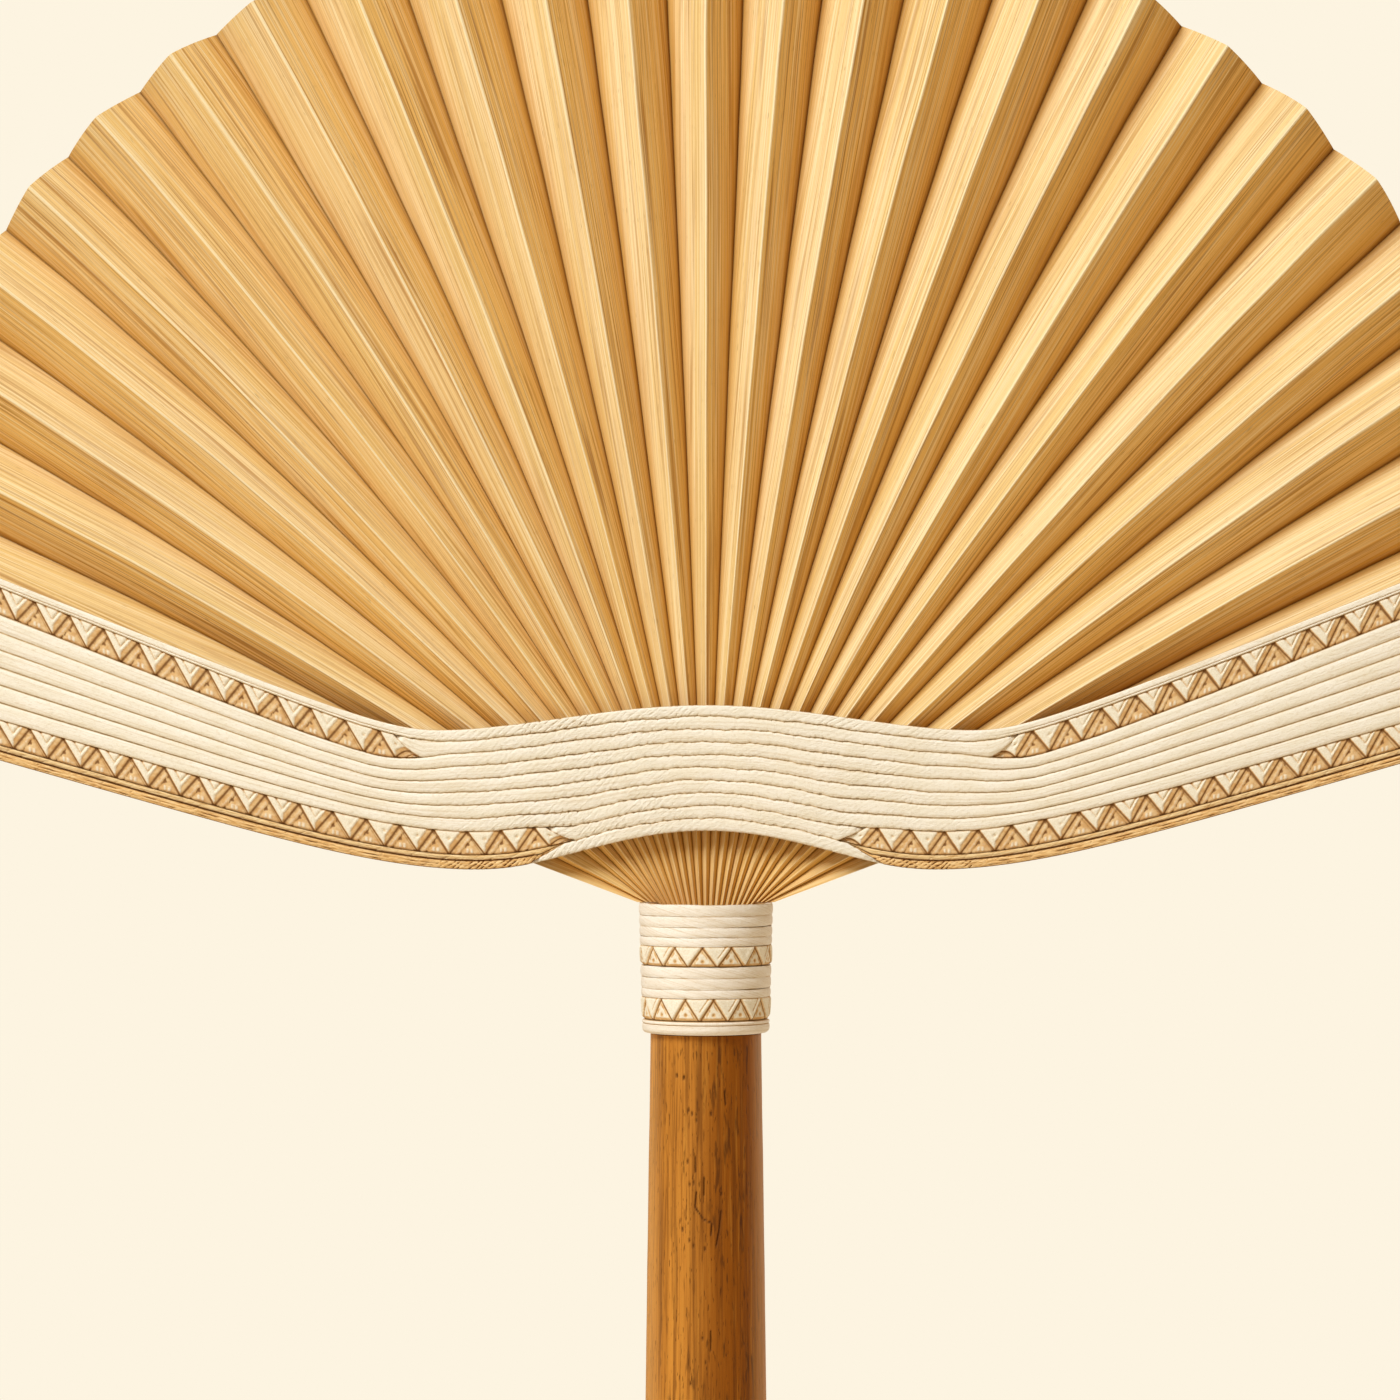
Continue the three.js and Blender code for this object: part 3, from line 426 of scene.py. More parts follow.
# Root: a flat bamboo tang in the handle's slot, and two bamboo pegs through both. They are plain
# split and shaved bamboo, so their solids stay and take a straight fine grain.
def split_bamboo(name, along):
    """Bare bamboo: pale, with fine straight fibres along one direction of the fan's frame."""
    finish, shader = finished(name, 0.55, 0.3)
    place = position(finish)
    fibre = [2600, 2600, 2600]
    fibre[along] = 70
    fine = grain_of(finish, place, tuple(fibre), 3)
    broad = grain_of(finish, place, tuple(size / 6 for size in fibre), 2)
    colour = stain(finish, between(finish, broad, 0.35, 0.65), paint("DDAE68"), paint("EBC585"))
    colour = glaze(finish, colour, between(finish, fine, 0.5, 0.75), "B98443", 0.5)
    surface(finish, shader, colour, fine, 0.05)
    return finish


def refinish(node, finish):
    """Gives a solid that stays its finish."""
    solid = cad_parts[node]
    solid.data.materials.clear()
    solid.data.materials.append(finish)


refinish("root_tang", split_bamboo("tang_bamboo", 2))
peg_bamboo = split_bamboo("peg_bamboo", 1)
refinish("root_peg_upper", peg_bamboo)
refinish("root_peg_lower", peg_bamboo)

# Collar: a paper tube on the tenon, wound with flat twisted paper cord, four turns over a ring of
# pressed zigzag, then three turns over a second ring, and a stout rounded rim at the bottom.
SLEEVE_BORE = 8.825
SLEEVE_WALL = (0.45, 1.05)
WINDING_DEPTH = 1.3
ROW_GAP = 0.15
RIM_HEIGHT = 2.5
LOWER_RING_HEIGHT = 3.8
UPPER_RING_HEIGHT = 3.4
MIDDLE_ROWS = (1.48, 1.92, 1.88)
TOP_ROWS = (1.52, 1.68, 1.84, 2.0)
RING_TRIANGLES = 14
LOWER_RING_BOTTOM = HANDLE_LENGTH + RIM_HEIGHT
MIDDLE_WINDING_BOTTOM = LOWER_RING_BOTTOM + LOWER_RING_HEIGHT
UPPER_RING_BOTTOM = MIDDLE_WINDING_BOTTOM + sum(MIDDLE_ROWS)
UPPER_WINDING_BOTTOM = UPPER_RING_BOTTOM + UPPER_RING_HEIGHT
CORD_TOP_POINTS = 13
CORD_SQUARENESS = 3.6
CORD_SHOULDER = 0.68
WINDING_SHOULDER = 0.8
CREASE_SLANT = 1.4
CREASE_WIDTH = 0.18
CLIMB_SHARE = 0.25
WINDING_FILL = 0.98
ROUGH_RADIUS = 10


def kraft_paper():
    """Brown glued paper, a little mottled and rough."""
    finish, shader = finished("kraft_paper", 0.9, 0.15)
    place = position(finish)
    pulp = grain_of(finish, place, (900, 900, 900), 4)
    colour = stain(finish, between(finish, pulp, 0.3, 0.7), paint("A87C48"), paint("C79C64"))
    surface(finish, shader, colour, pulp, 0.1)
    return finish


def twisted_paper(name, light_code, dark_code, groove_shade_code):
    """Cream paper cord: soft mottling, fine wrinkles along the twist, and painted shade in the grooves."""
    finish, shader = finished(name, 0.85, 0.12)
    place = noted(finish, "lay", "Vector")
    crown = noted(finish, "crown")
    wrinkles = grain_of(finish, place, (1.3, 2.6, 1.0), 4, 0.65, 0.3)
    pulp = grain_of(finish, place, (4.5, 4.5, 1.0), 3, 0.6)
    tone = grain_of(finish, place, (0.13, 0.4, 1.0), 2)
    slack = noted(finish, "slack")
    strands = grain_of(finish, place, (0.03, 3.4, 1.0), 2, 0.5)
    twist = reckon(finish, "MULTIPLY", grain_of(finish, place, (2.3, 0.4, 1.0), 3, 0.6), slack)
    colour = stain(finish, between(finish, tone, 0.3, 0.7), paint(light_code), paint(dark_code))
    colour = glaze(finish, colour, between(finish, wrinkles, 0.5, 0.75), "DDC49C", 0.4)
    colour = glaze(finish, colour, between(finish, pulp, 0.5, 0.8), "D9C19B", 0.3)
    colour = glaze(finish, colour, between(finish, strands, 0.52, 0.66), "D3B68A", 0.3)
    colour = glaze(finish, colour, between(finish, twist, 0.52, 0.7), "D6BA8F", 0.5)
    # Painted shade where the crown note is low: in the grooves between cords and in the creases.
    colour = glaze(finish, colour, between(finish, crown, 0.55, 0.0), groove_shade_code)
    height = reckon(finish, "MULTIPLY_ADD", wrinkles, 1.5, reckon(finish, "MULTIPLY", pulp, 0.4))
    height = reckon(finish, "MULTIPLY_ADD", twist, -2.2, height)
    surface(finish, shader, colour, height, 0.1)
    return finish


def cord_section(half_width, half_depth, shoulder=CORD_SHOULDER, top_points=CORD_TOP_POINTS):
    """The points round a flattened cord: how far across and how far out each lies, and its crown,
    which is 1 on the middle of the outer face and 0 at the grooves."""
    top = np.sin(np.linspace(0.5 * np.pi, -0.5 * np.pi, top_points))
    under = np.array([-0.94, -0.6, 0.6, 0.94])
    across = np.concatenate([top, under])
    out = (1 - np.abs(across) ** CORD_SQUARENESS) ** (1 / CORD_SQUARENESS)
    out[:top_points] = np.maximum(out[:top_points], shoulder)
    out[top_points:] *= -1
    crown = np.clip((1 - np.abs(across)) / 0.3, 0, 1) * (np.arange(len(across)) < top_points)
    return across * half_width, out * half_depth, crown


def creases(along, up, seed, spacing):
    """How deep the slanted creases of a twisted paper cord are, from 0 to 1, along and across it."""
    drift = 0.4 * wander(along, 9 * spacing, seed)
    phase = (along - CREASE_SLANT * up) / spacing + drift
    off = np.abs(phase - np.round(phase)) * spacing
    strength = np.clip(0.7 + 0.9 * wander(along + 2.5 * up, 2.1 * spacing, seed + 2), 0, 1)
    return strength * np.exp(-((off / CREASE_WIDTH) ** 2))


def sleeve_radius(z):
    """The sleeve's outer radius at a height."""
    share = (z - HANDLE_LENGTH) / (COLLAR_TOP - HANDLE_LENGTH)
    return SLEEVE_BORE + SLEEVE_WALL[0] + (SLEEVE_WALL[1] - SLEEVE_WALL[0]) * share


def collar_radius(z):
    """The collar's outer radius over the cord."""
    return sleeve_radius(z) + ROW_GAP + WINDING_DEPTH


def wind_cord(name, row_widths, bottom, seed, solid):
    """Winds one cord round the sleeve: each turn lies level and climbs a row across the back, where
    both ends taper to fill the climb. It is pulled flatter and wider in some rows than in others."""
    start = np.radians(135)
    laps = np.arange(-CLIMB_SHARE, len(row_widths), 1 / 180)
    climb = soften((laps % 1 - (1 - CLIMB_SHARE)) / CLIMB_SHARE)
    row = np.clip(np.floor(laps) + climb, 0, len(row_widths) - 1)
    angle = start + 2 * np.pi * laps
    row_numbers = np.arange(len(row_widths))
    first_end = np.where(laps < 0, 1 - climb, 0)
    last_end = np.where(laps > len(row_widths) - CLIMB_SHARE, climb, 0)
    taper = np.maximum(1 - first_end - last_end, 0.05)
    half_width = 0.5 * WINDING_FILL * np.interp(row, row_numbers, row_widths) * taper
    middles = np.cumsum(row_widths) - 0.5 * np.array(row_widths)
    z = bottom + np.interp(row, row_numbers, middles) + 0.06 * wander(ROUGH_RADIUS * angle, 40, seed)
    z += 0.5 * (last_end * row_widths[-1] - first_end * row_widths[0])
    centre = collar_radius(z) - WINDING_DEPTH / 2
    along = centre * angle
    across, out, crown = cord_section(1.0, WINDING_DEPTH / 2, WINDING_SHOULDER)
    across = half_width[:, None] * across
    ends = np.minimum(laps - laps[0], laps[-1] - laps) * 2 * np.pi * ROUGH_RADIUS
    size = np.sqrt(soften(ends / 0.8 + 0.12))
    dent = 0.07 * creases(along[:, None], across, seed, 4.2) * (out > 0)
    reach = centre[:, None] + (out - dent) * size[:, None]
    rings = np.stack([reach * np.cos(angle)[:, None], reach * np.sin(angle)[:, None],
                      z[:, None] + across * size[:, None]], axis=-1)
    slanted = across * 1.5 + 0.4 * along[:, None]
    lay = np.stack(np.broadcast_arrays(along[:, None], slanted, seed), axis=-1)
    # The crown note carries the painted shade of the grooves and creases, which fades along the cord at
    # random.
    faint = np.clip(0.75 + 0.5 * wander(along, 9, seed + 9), 0.2, 1)[:, None]
    piece = skin(name, rings, {"lay": lay, "crown": 1 - (1 - crown * (1 - 8 * dent)) * faint})
    fit(piece, collar_paper, "cord", solid)


refinish("collar_sleeve", kraft_paper())
collar_paper = twisted_paper("collar_paper_cord", "FDF4E8", "F6EADA", "D2B285")
wind_cord("upper_winding", TOP_ROWS, UPPER_WINDING_BOTTOM, 21, "collar_winding_upper")
wind_cord("middle_winding", MIDDLE_ROWS, MIDDLE_WINDING_BOTTOM, 22, "collar_winding_middle")


# Zigzag: one strip of paper pulp pressed in a mould. Cream triangles stand up with their points
# down, and stained triangles lie between them. On the collar a short stroke marks the right side
# of a cream one. On the band it has a dimple near the middle, and farther out an engraved V.
ZIGZAG_BASE = 0.8
ZIGZAG_RELIEF = 0.5
ZIGZAG_SINK = 0.3


def ridge_bump(distance, middle, half_width):
    """A round bump of height 1 over a line at a distance."""
    return np.clip(1 - ((distance - middle) / half_width) ** 2, 0, 1) ** 0.5


def line_mark(distance, middle, half_width):
    """A soft line of strength 1 at a distance."""
    return np.exp(-(((distance - middle) / half_width) ** 2))


def pressed_zigzag(along, share, pitch, height, seed, wing):
    """The height over the strip's back and the brown stain, from 0 to 1, of the pressed ornament.
    Along counts triangles and share runs from the lower edge at 0 to the upper edge at 1. Wing is
    none on the collar, and on the band it runs from 0 near the middle to 1 farther out."""
    rng = np.random.default_rng(seed)
    cells = int(np.ceil(along.max())) + 3
    jitter = rng.uniform(-0.05, 0.05, (4, cells))
    cell = np.floor(along).astype(int)
    middle = 0.5 + jitter[0][cell]
    side = np.hypot(0.5 * pitch, height)
    scale = pitch * height / side
    step = along - cell
    inside = (0.5 * share - np.abs(step - (middle + (0.5 - middle) * share))) * scale
    raised = soften(inside / 0.32 + 0.15)
    right = soften((step - middle) / 0.08 + 0.5)
    turned_up = np.round(along).astype(int)
    across = along - turned_up - jitter[1][turned_up] * 0.4 * share
    from_left = (0.5 * (1 - share) + across) * scale
    from_right = (0.5 * (1 - share) - across) * scale
    low = 1 - raised
    level = ZIGZAG_BASE - ZIGZAG_SINK + (ZIGZAG_RELIEF + ZIGZAG_SINK) * raised
    grit = wander(along * pitch, 1.7, seed + 5) * wander(share * height + 0.7 * along, 1.3, seed + 6)
    level += 0.03 * grit
    brown = 0.46 * low + 0.1 * grit
    if wing is None:
        stroke = line_mark(inside, 0.8, 0.1) * right * (share > 0.4) * (jitter[2][cell] > -0.03)
        level += (0.1 * ridge_bump(inside, 0.55, 0.55) - 0.2 * stroke) * raised
        brown += 0.5 * stroke * raised
        from_side = np.minimum(from_left, from_right)
        frame_line = line_mark(from_side, 0.12, 0.11)
        inner = soften((from_side - 0.27) / 0.12) * soften((share - 0.1) / 0.06)
        drawn = np.clip(0.5 + 1.1 * wander(1.7 * along * pitch + share, 2.3, seed + 9), 0, 1)
        dot = np.exp(-((across * pitch / 0.26) ** 2) - ((share - 0.27) * height / 0.28) ** 2)
        inner_line = line_mark(from_side, 0.52, 0.11) * (share > 0.1) * drawn
        level += (0.52 + 0.1 * inner - 0.18 * dot - 0.14 * inner_line) * low
        brown += (0.75 * frame_line - 0.34 * inner + 0.7 * dot + 0.6 * inner_line) * low
    else:
        groove = line_mark(inside, 1.4 + jitter[2][cell], 0.17) * soften((share - 0.42) / 0.2) * wing
        dimple = np.exp(-(((step - middle) * pitch / 0.34) ** 2) - ((share - 0.66) * height / 0.3) ** 2)
        groove = np.maximum(groove, dimple * (1 - wing))
        # On the band, the bevel at each raised triangle's right is tinted tan as painted shade, away from the
        # left light.
        bevel = right * soften((1.05 - inside) / 0.3)
        level += (-0.3 * groove - 0.22 * bevel) * raised
        brown += (0.3 * groove + 0.42 * bevel) * raised + 0.55 * line_mark(inside, 0.0, 0.17)
        rod = ridge_bump(from_left, 0.8, 0.36) * soften((from_right - 0.2) / 0.2)
        marks = ridge_bump(across * pitch, 0.05, 0.24) + ridge_bump(across * pitch, 0.75, 0.26)
        marks *= ridge_bump((share - 0.16) * height, 0, 0.42)
        spot = np.exp(-(((across - 0.03) * pitch / 0.26) ** 2) - ((share - 0.42) * height / 0.24) ** 2)
        inner_triangle = soften((from_left - 1.35) / 0.2) * soften((from_right - 0.35) / 0.2)
        level += (0.36 + 0.12 * rod + 0.1 * inner_triangle + 0.14 * marks - 0.16 * spot) * low
        uneven = np.clip(0.75 + 0.8 * wander(2.2 * along * pitch, 3.1, seed + 7), 0.2, 1.2)
        bent = from_left + 0.09 * wander(share * height + 2 * along, 1.6, seed + 8)
        dark = 0.4 * line_mark(bent, 0.42, 0.13) + uneven * line_mark(bent, 1.22, 0.15)
        dark += 0.5 * line_mark(from_right, 0.3, 0.12)
        brown += (0.5 * dark - 0.16 * rod - 0.22 * marks - 0.08 * inner_triangle + 0.6 * spot) * low
    edge = line_mark(share * height, 0.0, 0.16) + line_mark(share * height, height, 0.2)
    level -= 0.18 * edge
    brown += 0.32 * edge
    return np.clip(level, 0.3, None), np.clip(brown, 0, 1)


def pressed_paper():
    """Pressed paper pulp: cream where raised, tan in its sunk parts and painted shade, brown in its lines."""
    finish, shader = finished("pressed_zigzag_paper", 0.8, 0.2)
    place = noted(finish, "lay", "Vector")
    brown = noted(finish, "brown")
    pulp = grain_of(finish, place, (3.5, 3.5, 1.0), 3, 0.6)
    patches = grain_of(finish, place, (0.7, 0.9, 1.0), 2)
    colour = stain(finish, between(finish, pulp, 0.35, 0.75), paint("F8EFDC"), paint("ECDDC0"))
    tan = stain(finish, between(finish, patches, 0.35, 0.65), paint("D6A76C"), paint("E6C28E"))
    colour = stain(finish, between(finish, brown, 0.06, 0.44), colour, tan)
    colour = glaze(finish, colour, between(finish, brown, 0.48, 0.95), "8C6238")
    surface(finish, shader, colour, pulp, 0.06)
    return finish


def with_back(values):
    """Rows of values over a strip's face, carried on to the two edges of its flat back."""
    return np.concatenate([values, values[:, [-1, 0]]], axis=1)


def press_ring(name, bottom, height, turned, seed, solid):
    """A zigzag ring bent round the sleeve, and turned about it by some degrees."""
    along = np.linspace(0, RING_TRIANGLES, RING_TRIANGLES * 40 + 1)[:-1][:, None]
    share = np.linspace(0, 1, 27)[None, :]
    pitch = 2 * np.pi * (collar_radius(bottom) - ROW_GAP) / RING_TRIANGLES
    level, brown = pressed_zigzag(along + 0 * share, share + 0 * along, pitch, height, seed, None)
    seat = WINDING_DEPTH - ZIGZAG_BASE - ZIGZAG_RELIEF + ROW_GAP
    z = bottom + 0.06 + (height - 0.12) * share + 0 * along
    angle = 2 * np.pi * along / RING_TRIANGLES + math.radians(turned) + 0 * share
    reach = sleeve_radius(z) + seat + level
    reach = np.concatenate([reach, sleeve_radius(z[:, [-1, 0]]) + seat], axis=1)
    angle, z, brown = with_back(angle), with_back(z), with_back(brown)
    rings = np.stack([reach * np.cos(angle), reach * np.sin(angle), z], axis=-1)
    lay = np.stack([angle * ROUGH_RADIUS, z, 0 * z + seed], axis=-1)
    fit(skin(name, rings, {"lay": lay, "brown": brown}, looped=True), zigzag_paper, "zigzag", solid)


zigzag_paper = pressed_paper()
press_ring("upper_zigzag_ring", UPPER_RING_BOTTOM, UPPER_RING_HEIGHT, 10, 31, "collar_zigzag_upper")
press_ring("lower_zigzag_ring", LOWER_RING_BOTTOM, LOWER_RING_HEIGHT, -5.7, 32, "collar_zigzag_lower")

# Rim: the collar's lowest cord, thicker than the others and rounded under, with one fine row
# pressed along its upper edge.
RIM_ROUNDING = 0.9
FINE_ROW = 0.65

rim_outer = collar_radius(HANDLE_LENGTH + ROW_GAP)
rim_bottom = HANDLE_LENGTH + ROW_GAP
rim_top = LOWER_RING_BOTTOM - 0.06
rim_inner = sleeve_radius(rim_top) + ROW_GAP
curl = np.radians(np.arange(0, 91, 10))
profile_out = [rim_inner, *(rim_outer - RIM_ROUNDING * (1 - np.sin(curl)))]
profile_up = [rim_bottom, *(rim_bottom + RIM_ROUNDING * (1 - np.cos(curl)))]
row_up = np.linspace(rim_bottom + RIM_ROUNDING + 0.1, rim_top, 16)
groove = line_mark(row_up, rim_top - FINE_ROW, 0.09) * 0.28 + line_mark(row_up, rim_top, 0.12) * 0.35
profile_out += [*(rim_outer - groove), rim_inner]
profile_up += [*row_up, rim_top]
profile_out, profile_up = np.array(profile_out), np.array(profile_up)
around = np.radians(np.arange(0, 360, 1.2))[:, None]
ripple = 0.05 * wander(around * ROUGH_RADIUS, 21, 41) + 0.03 * wander(around * ROUGH_RADIUS, 5, 42)
outside = (profile_out > rim_inner + 0.2).astype(float)
reach = profile_out + ripple * outside
rings = np.stack([reach * np.cos(around), reach * np.sin(around), profile_up + 0 * around], axis=-1)
# The crown note puts painted shade in the fine pressed row and along the rim's upper edge.
crown = np.clip(1 - 1.6 * np.interp(profile_up, row_up, groove / 0.35, left=0.15), 0, 1) * outside
notes = {"lay": np.stack(np.broadcast_arrays(around * ROUGH_RADIUS, profile_up, 7), axis=-1),
         "crown": crown + 0 * around}
fit(skin("rounded_rim", rings, notes, looped=True), collar_paper, "cord", "collar_rim")

# Leaf: 25 strips of bamboo, each folded along its middle into a ridge with a valley at each side,
# and a half pleat at each end of the row. They point to one apex and are cut off in scallops.
# Under the band they bend, so that their roots fill the collar, where they stand on the tang.
# Far out the folds flare outwards, more on the left, the outer right ones spread, and some sway.
LEAF_RADIUS = 150
CENTRE_RISE = 25.7
TIP_RADIUS = LEAF_RADIUS + CENTRE_RISE
PLEATS_PER_SIDE = 12
PLEAT_PITCH = 4.68
PITCH_GROWTH = 0.0473
OUTER_RIDGE_LEAN = 1.3
PLEAT_DEPTH = 7.5
STRIP_WALL = 0.45
SCALLOP_DEPTH = 0.55
SCALLOP_POWER = math.log(3) / math.log(2)
BEND_RADIUS = 30
ROOT_PITCH = 0.95
ROOT_CROWDING = 0.129
ROOT_PLEAT_DEPTH = 0.56
RIM_INSET = 0.3
RIM_LIFT = 0.05
TANG_LIFT = 0.2
GUARD_WIDTH = 3.5
GUARD_MARGIN = 0.55
RIDGE_SOFTNESS = 0.018
FACE_BULGE = 0.22
VALLEY_JOINT = 0.012
FACE_STRETCH = 1.4
STAIN_FACE = 5.7
# Direction of the light at the upper left, which sets the side of each strip that gets painted shade.
PAINTED_LIGHT_ANGLE = math.radians(-35)
FLARE = {-1: 0.030, 1: 0.020}
FLARE_START = 9
FLARE_PIVOT = 98
RIGHT_SPREAD = 1.05
RIGHT_SPREAD_START = 7
SWAY = 0.28
SWAY_NUMBER = 4.5
NODE_NUMBER = 3
NODE_RADIUS = 153.3


def fold_angle(number):
    """The direction of a fold line: whole numbers are ridges and halves are valleys."""
    lean = OUTER_RIDGE_LEAN * np.sign(number) * (abs(number) == PLEATS_PER_SIDE)
    return np.radians(PLEAT_PITCH * number + PITCH_GROWTH * number * abs(number) + lean)


def rim_place(number):
    """Where a fold line crosses the level of the collar's top."""
    return ROOT_PITCH * number * (1 - ROOT_CROWDING * (number / PLEATS_PER_SIDE) ** 2)


def flare(number):
    """How many degrees a fold line leans outwards for each millimetre beyond the flare's pivot."""
    share = soften(abs(number) / FLARE_START) * (abs(number) < PLEATS_PER_SIDE)
    return math.radians(FLARE[1 if number > 0 else -1]) * np.sign(number) * share


def leaf_outline(angle):
    """How far the leaf's round edge lies from its apex along a direction."""
    return CENTRE_RISE * np.cos(angle) + np.sqrt(LEAF_RADIUS ** 2 - (CENTRE_RISE * np.sin(angle)) ** 2)


def half_pleat(radius):
    """Half the depth of a pleat at a distance from the apex."""
    return 0.5 * PLEAT_DEPTH * radius / TIP_RADIUS


def half_wall(face):
    """Half the strip's wall, measured from front to back, on a face of an angular width."""
    return 0.5 * STRIP_WALL * math.hypot(1, PLEAT_DEPTH / TIP_RADIUS / face)


def thin_lines(finish, place, stretch, width):
    """Thin lines along the grain, where a noise drawn out by the stretch crosses its middle value."""
    level = reckon(finish, "SUBTRACT", grain_of(finish, place, stretch, 1, 0.4), 0.5)
    return between(finish, reckon(finish, "ABSOLUTE", level), width, width * 0.2)


def leaf_bamboo():
    """Shaved bamboo with straight fibres, with painted shade in the valleys and a painted highlight along
    the ridges. Faces turned from the upper-left light are painted darker and more golden, as shade."""
    finish, shader = finished("leaf_bamboo", 0.6, 0.15)
    place = noted(finish, "fibre", "Vector")
    valley = noted(finish, "valley")
    ridge = noted(finish, "ridge")
    mark = noted(finish, "node_mark")
    facing_light = noted(finish, "facing_light")
    # Painted shade: faces turned from the upper-left light are darker gold, with more fibre lines.
    shade_side = between(finish, facing_light, 0.35, -0.35)
    broad = grain_of(finish, place, (0.30, 0.008, 1.0), 2, 0.5)
    streaks = grain_of(finish, place, (1.9, 0.02, 1.0), 3, 0.6)
    mottle = grain_of(finish, place, (3.6, 0.4, 1.0), 3, 0.6)
    strength = grain_of(finish, place, (0.8, 0.03, 1.7), 1, 0.5)
    fibres = thin_lines(finish, place, (0.8, 0.006, 1.0), 0.045)
    hairs = thin_lines(finish, place, (2.2, 0.016, 2.0), 0.06)
    pale = thin_lines(finish, place, (1.5, 0.009, 3.0), 0.07)
    ticks = grain_of(finish, place, (5.0, 0.4, 1.0), 1, 0.5)
    _, from_apex, strip_place = brush(finish, "SeparateXYZ", {0: place}).outputs
    root = between(finish, from_apex, 34, 22)
    # Painted valley shade is weaker on the strips on the left.
    left_strips = between(finish, strip_place, -10, -45)
    colour = stain(finish, between(finish, broad, 0.3, 0.7), paint("E6C380"), paint("F0D098"))
    colour = glaze(finish, colour, shade_side, "F3C16C", 0.85)
    colour = glaze(finish, colour, between(finish, streaks, 0.48, 0.72), "CC9A55", 0.25)
    colour = glaze(finish, colour, between(finish, streaks, 0.46, 0.28), "FAE3B2", 0.3)
    colour = glaze(finish, colour, between(finish, mottle, 0.5, 0.75), "BC8A48", 0.2)
    colour = glaze(finish, colour, pale, "FDECC2", 0.4)
    seen = reckon(finish, "MULTIPLY_ADD", shade_side, 0.25, 0.5)
    seen = reckon(finish, "MULTIPLY", between(finish, strength, 0.35, 0.65), seen)
    colour = glaze(finish, colour, reckon(finish, "MULTIPLY", fibres, seen), "A56C2A")
    hairs = reckon(finish, "MULTIPLY", hairs, reckon(finish, "MULTIPLY_ADD", shade_side, 0.2, 0.25))
    colour = glaze(finish, colour, hairs, "A96C28")
    colour = glaze(finish, colour, between(finish, ticks, 0.7, 0.8), "8A5A28", 0.45)
    # Painted shade in the valleys: a broad golden brown band, wider on the shade side, weaker at the roots
    # and on the left.
    valley_shade = between(finish, valley, reckon(finish, "MULTIPLY_ADD", shade_side, 1.4, 2.4), 0.0)
    valley_shade_level = reckon(finish, "MULTIPLY_ADD", left_strips, -0.3, 0.7)
    valley_shade = reckon(finish, "MULTIPLY", valley_shade, reckon(finish, "MULTIPLY_ADD", root, -0.4, valley_shade_level))
    colour = glaze(finish, colour, valley_shade, "CC9238")
    # Deeper painted shade near each valley, stronger at the roots and on the shade side, weaker on the left.
    deep_valley_shade = reckon(finish, "MULTIPLY_ADD", root, 0.5, reckon(finish, "MULTIPLY_ADD", shade_side, 0.45, 0.2))
    deep_valley_shade = reckon(finish, "MULTIPLY_ADD", left_strips, -0.25, deep_valley_shade)
    deep_valley_shade = reckon(finish, "MULTIPLY", between(finish, valley, 1.0, 0.0), deep_valley_shade)
    colour = glaze(finish, colour, deep_valley_shade, "85500F")
    # A dark line along each valley: the joint between strips, widened on the shade side by painted shade.
    joint_line_and_shade = reckon(finish, "MULTIPLY_ADD", shade_side, 0.2, 0.2)
    joint_line_and_shade = brush(finish, "MapRange", {"Value": valley, "From Min": joint_line_and_shade, "From Max": 0.02})
    colour = glaze(finish, colour, joint_line_and_shade.outputs[0], "7E4E12", 0.6)
    # Painted highlight: a pale line along each ridge.
    colour = glaze(finish, colour, between(finish, ridge, 0.32, 0.1), "FFF0CA", 0.65)
    colour = glaze(finish, colour, mark, "8E6430", 0.6)
    colour = glaze(finish, colour, root, "E4A93C", 0.3)
    height = reckon(finish, "SUBTRACT", streaks, reckon(finish, "MULTIPLY", fibres, 0.4))
    surface(finish, shader, colour, height, 0.04)
    return finish


GUARD_EDGE = fold_angle(PLEATS_PER_SIDE + 0.5) + math.radians(GUARD_WIDTH)
BAND_REACH = leaf_outline(GUARD_EDGE) * math.sin(GUARD_EDGE)
HALF_STRIP = np.array([0, 0.012, 0.03, 0.06, 0.11, 0.19, 0.3, 0.42, 0.54, 0.66, 0.77, 0.87, 0.94, 0.975, 1])


def fold_line(number, guard_side=0):
    """The direction of a fold line, its place at the collar's top, its margin to the side and its
    flare. A guard's ridge is the leaf's lower edge."""
    if guard_side:
        return np.array([guard_side * GUARD_EDGE, guard_side * APEX_DEPTH * math.tan(GUARD_EDGE),
                         guard_side * GUARD_MARGIN, 0])
    spread = RIGHT_SPREAD * soften((number - RIGHT_SPREAD_START) / (PLEATS_PER_SIDE - RIGHT_SPREAD_START))
    sway = SWAY * math.exp(-(((abs(number) - SWAY_NUMBER) / 2) ** 2))
    angle = fold_angle(number) + math.radians(spread * (number < PLEATS_PER_SIDE) - sway)
    return np.array([angle, rim_place(number), 0, flare(number)])


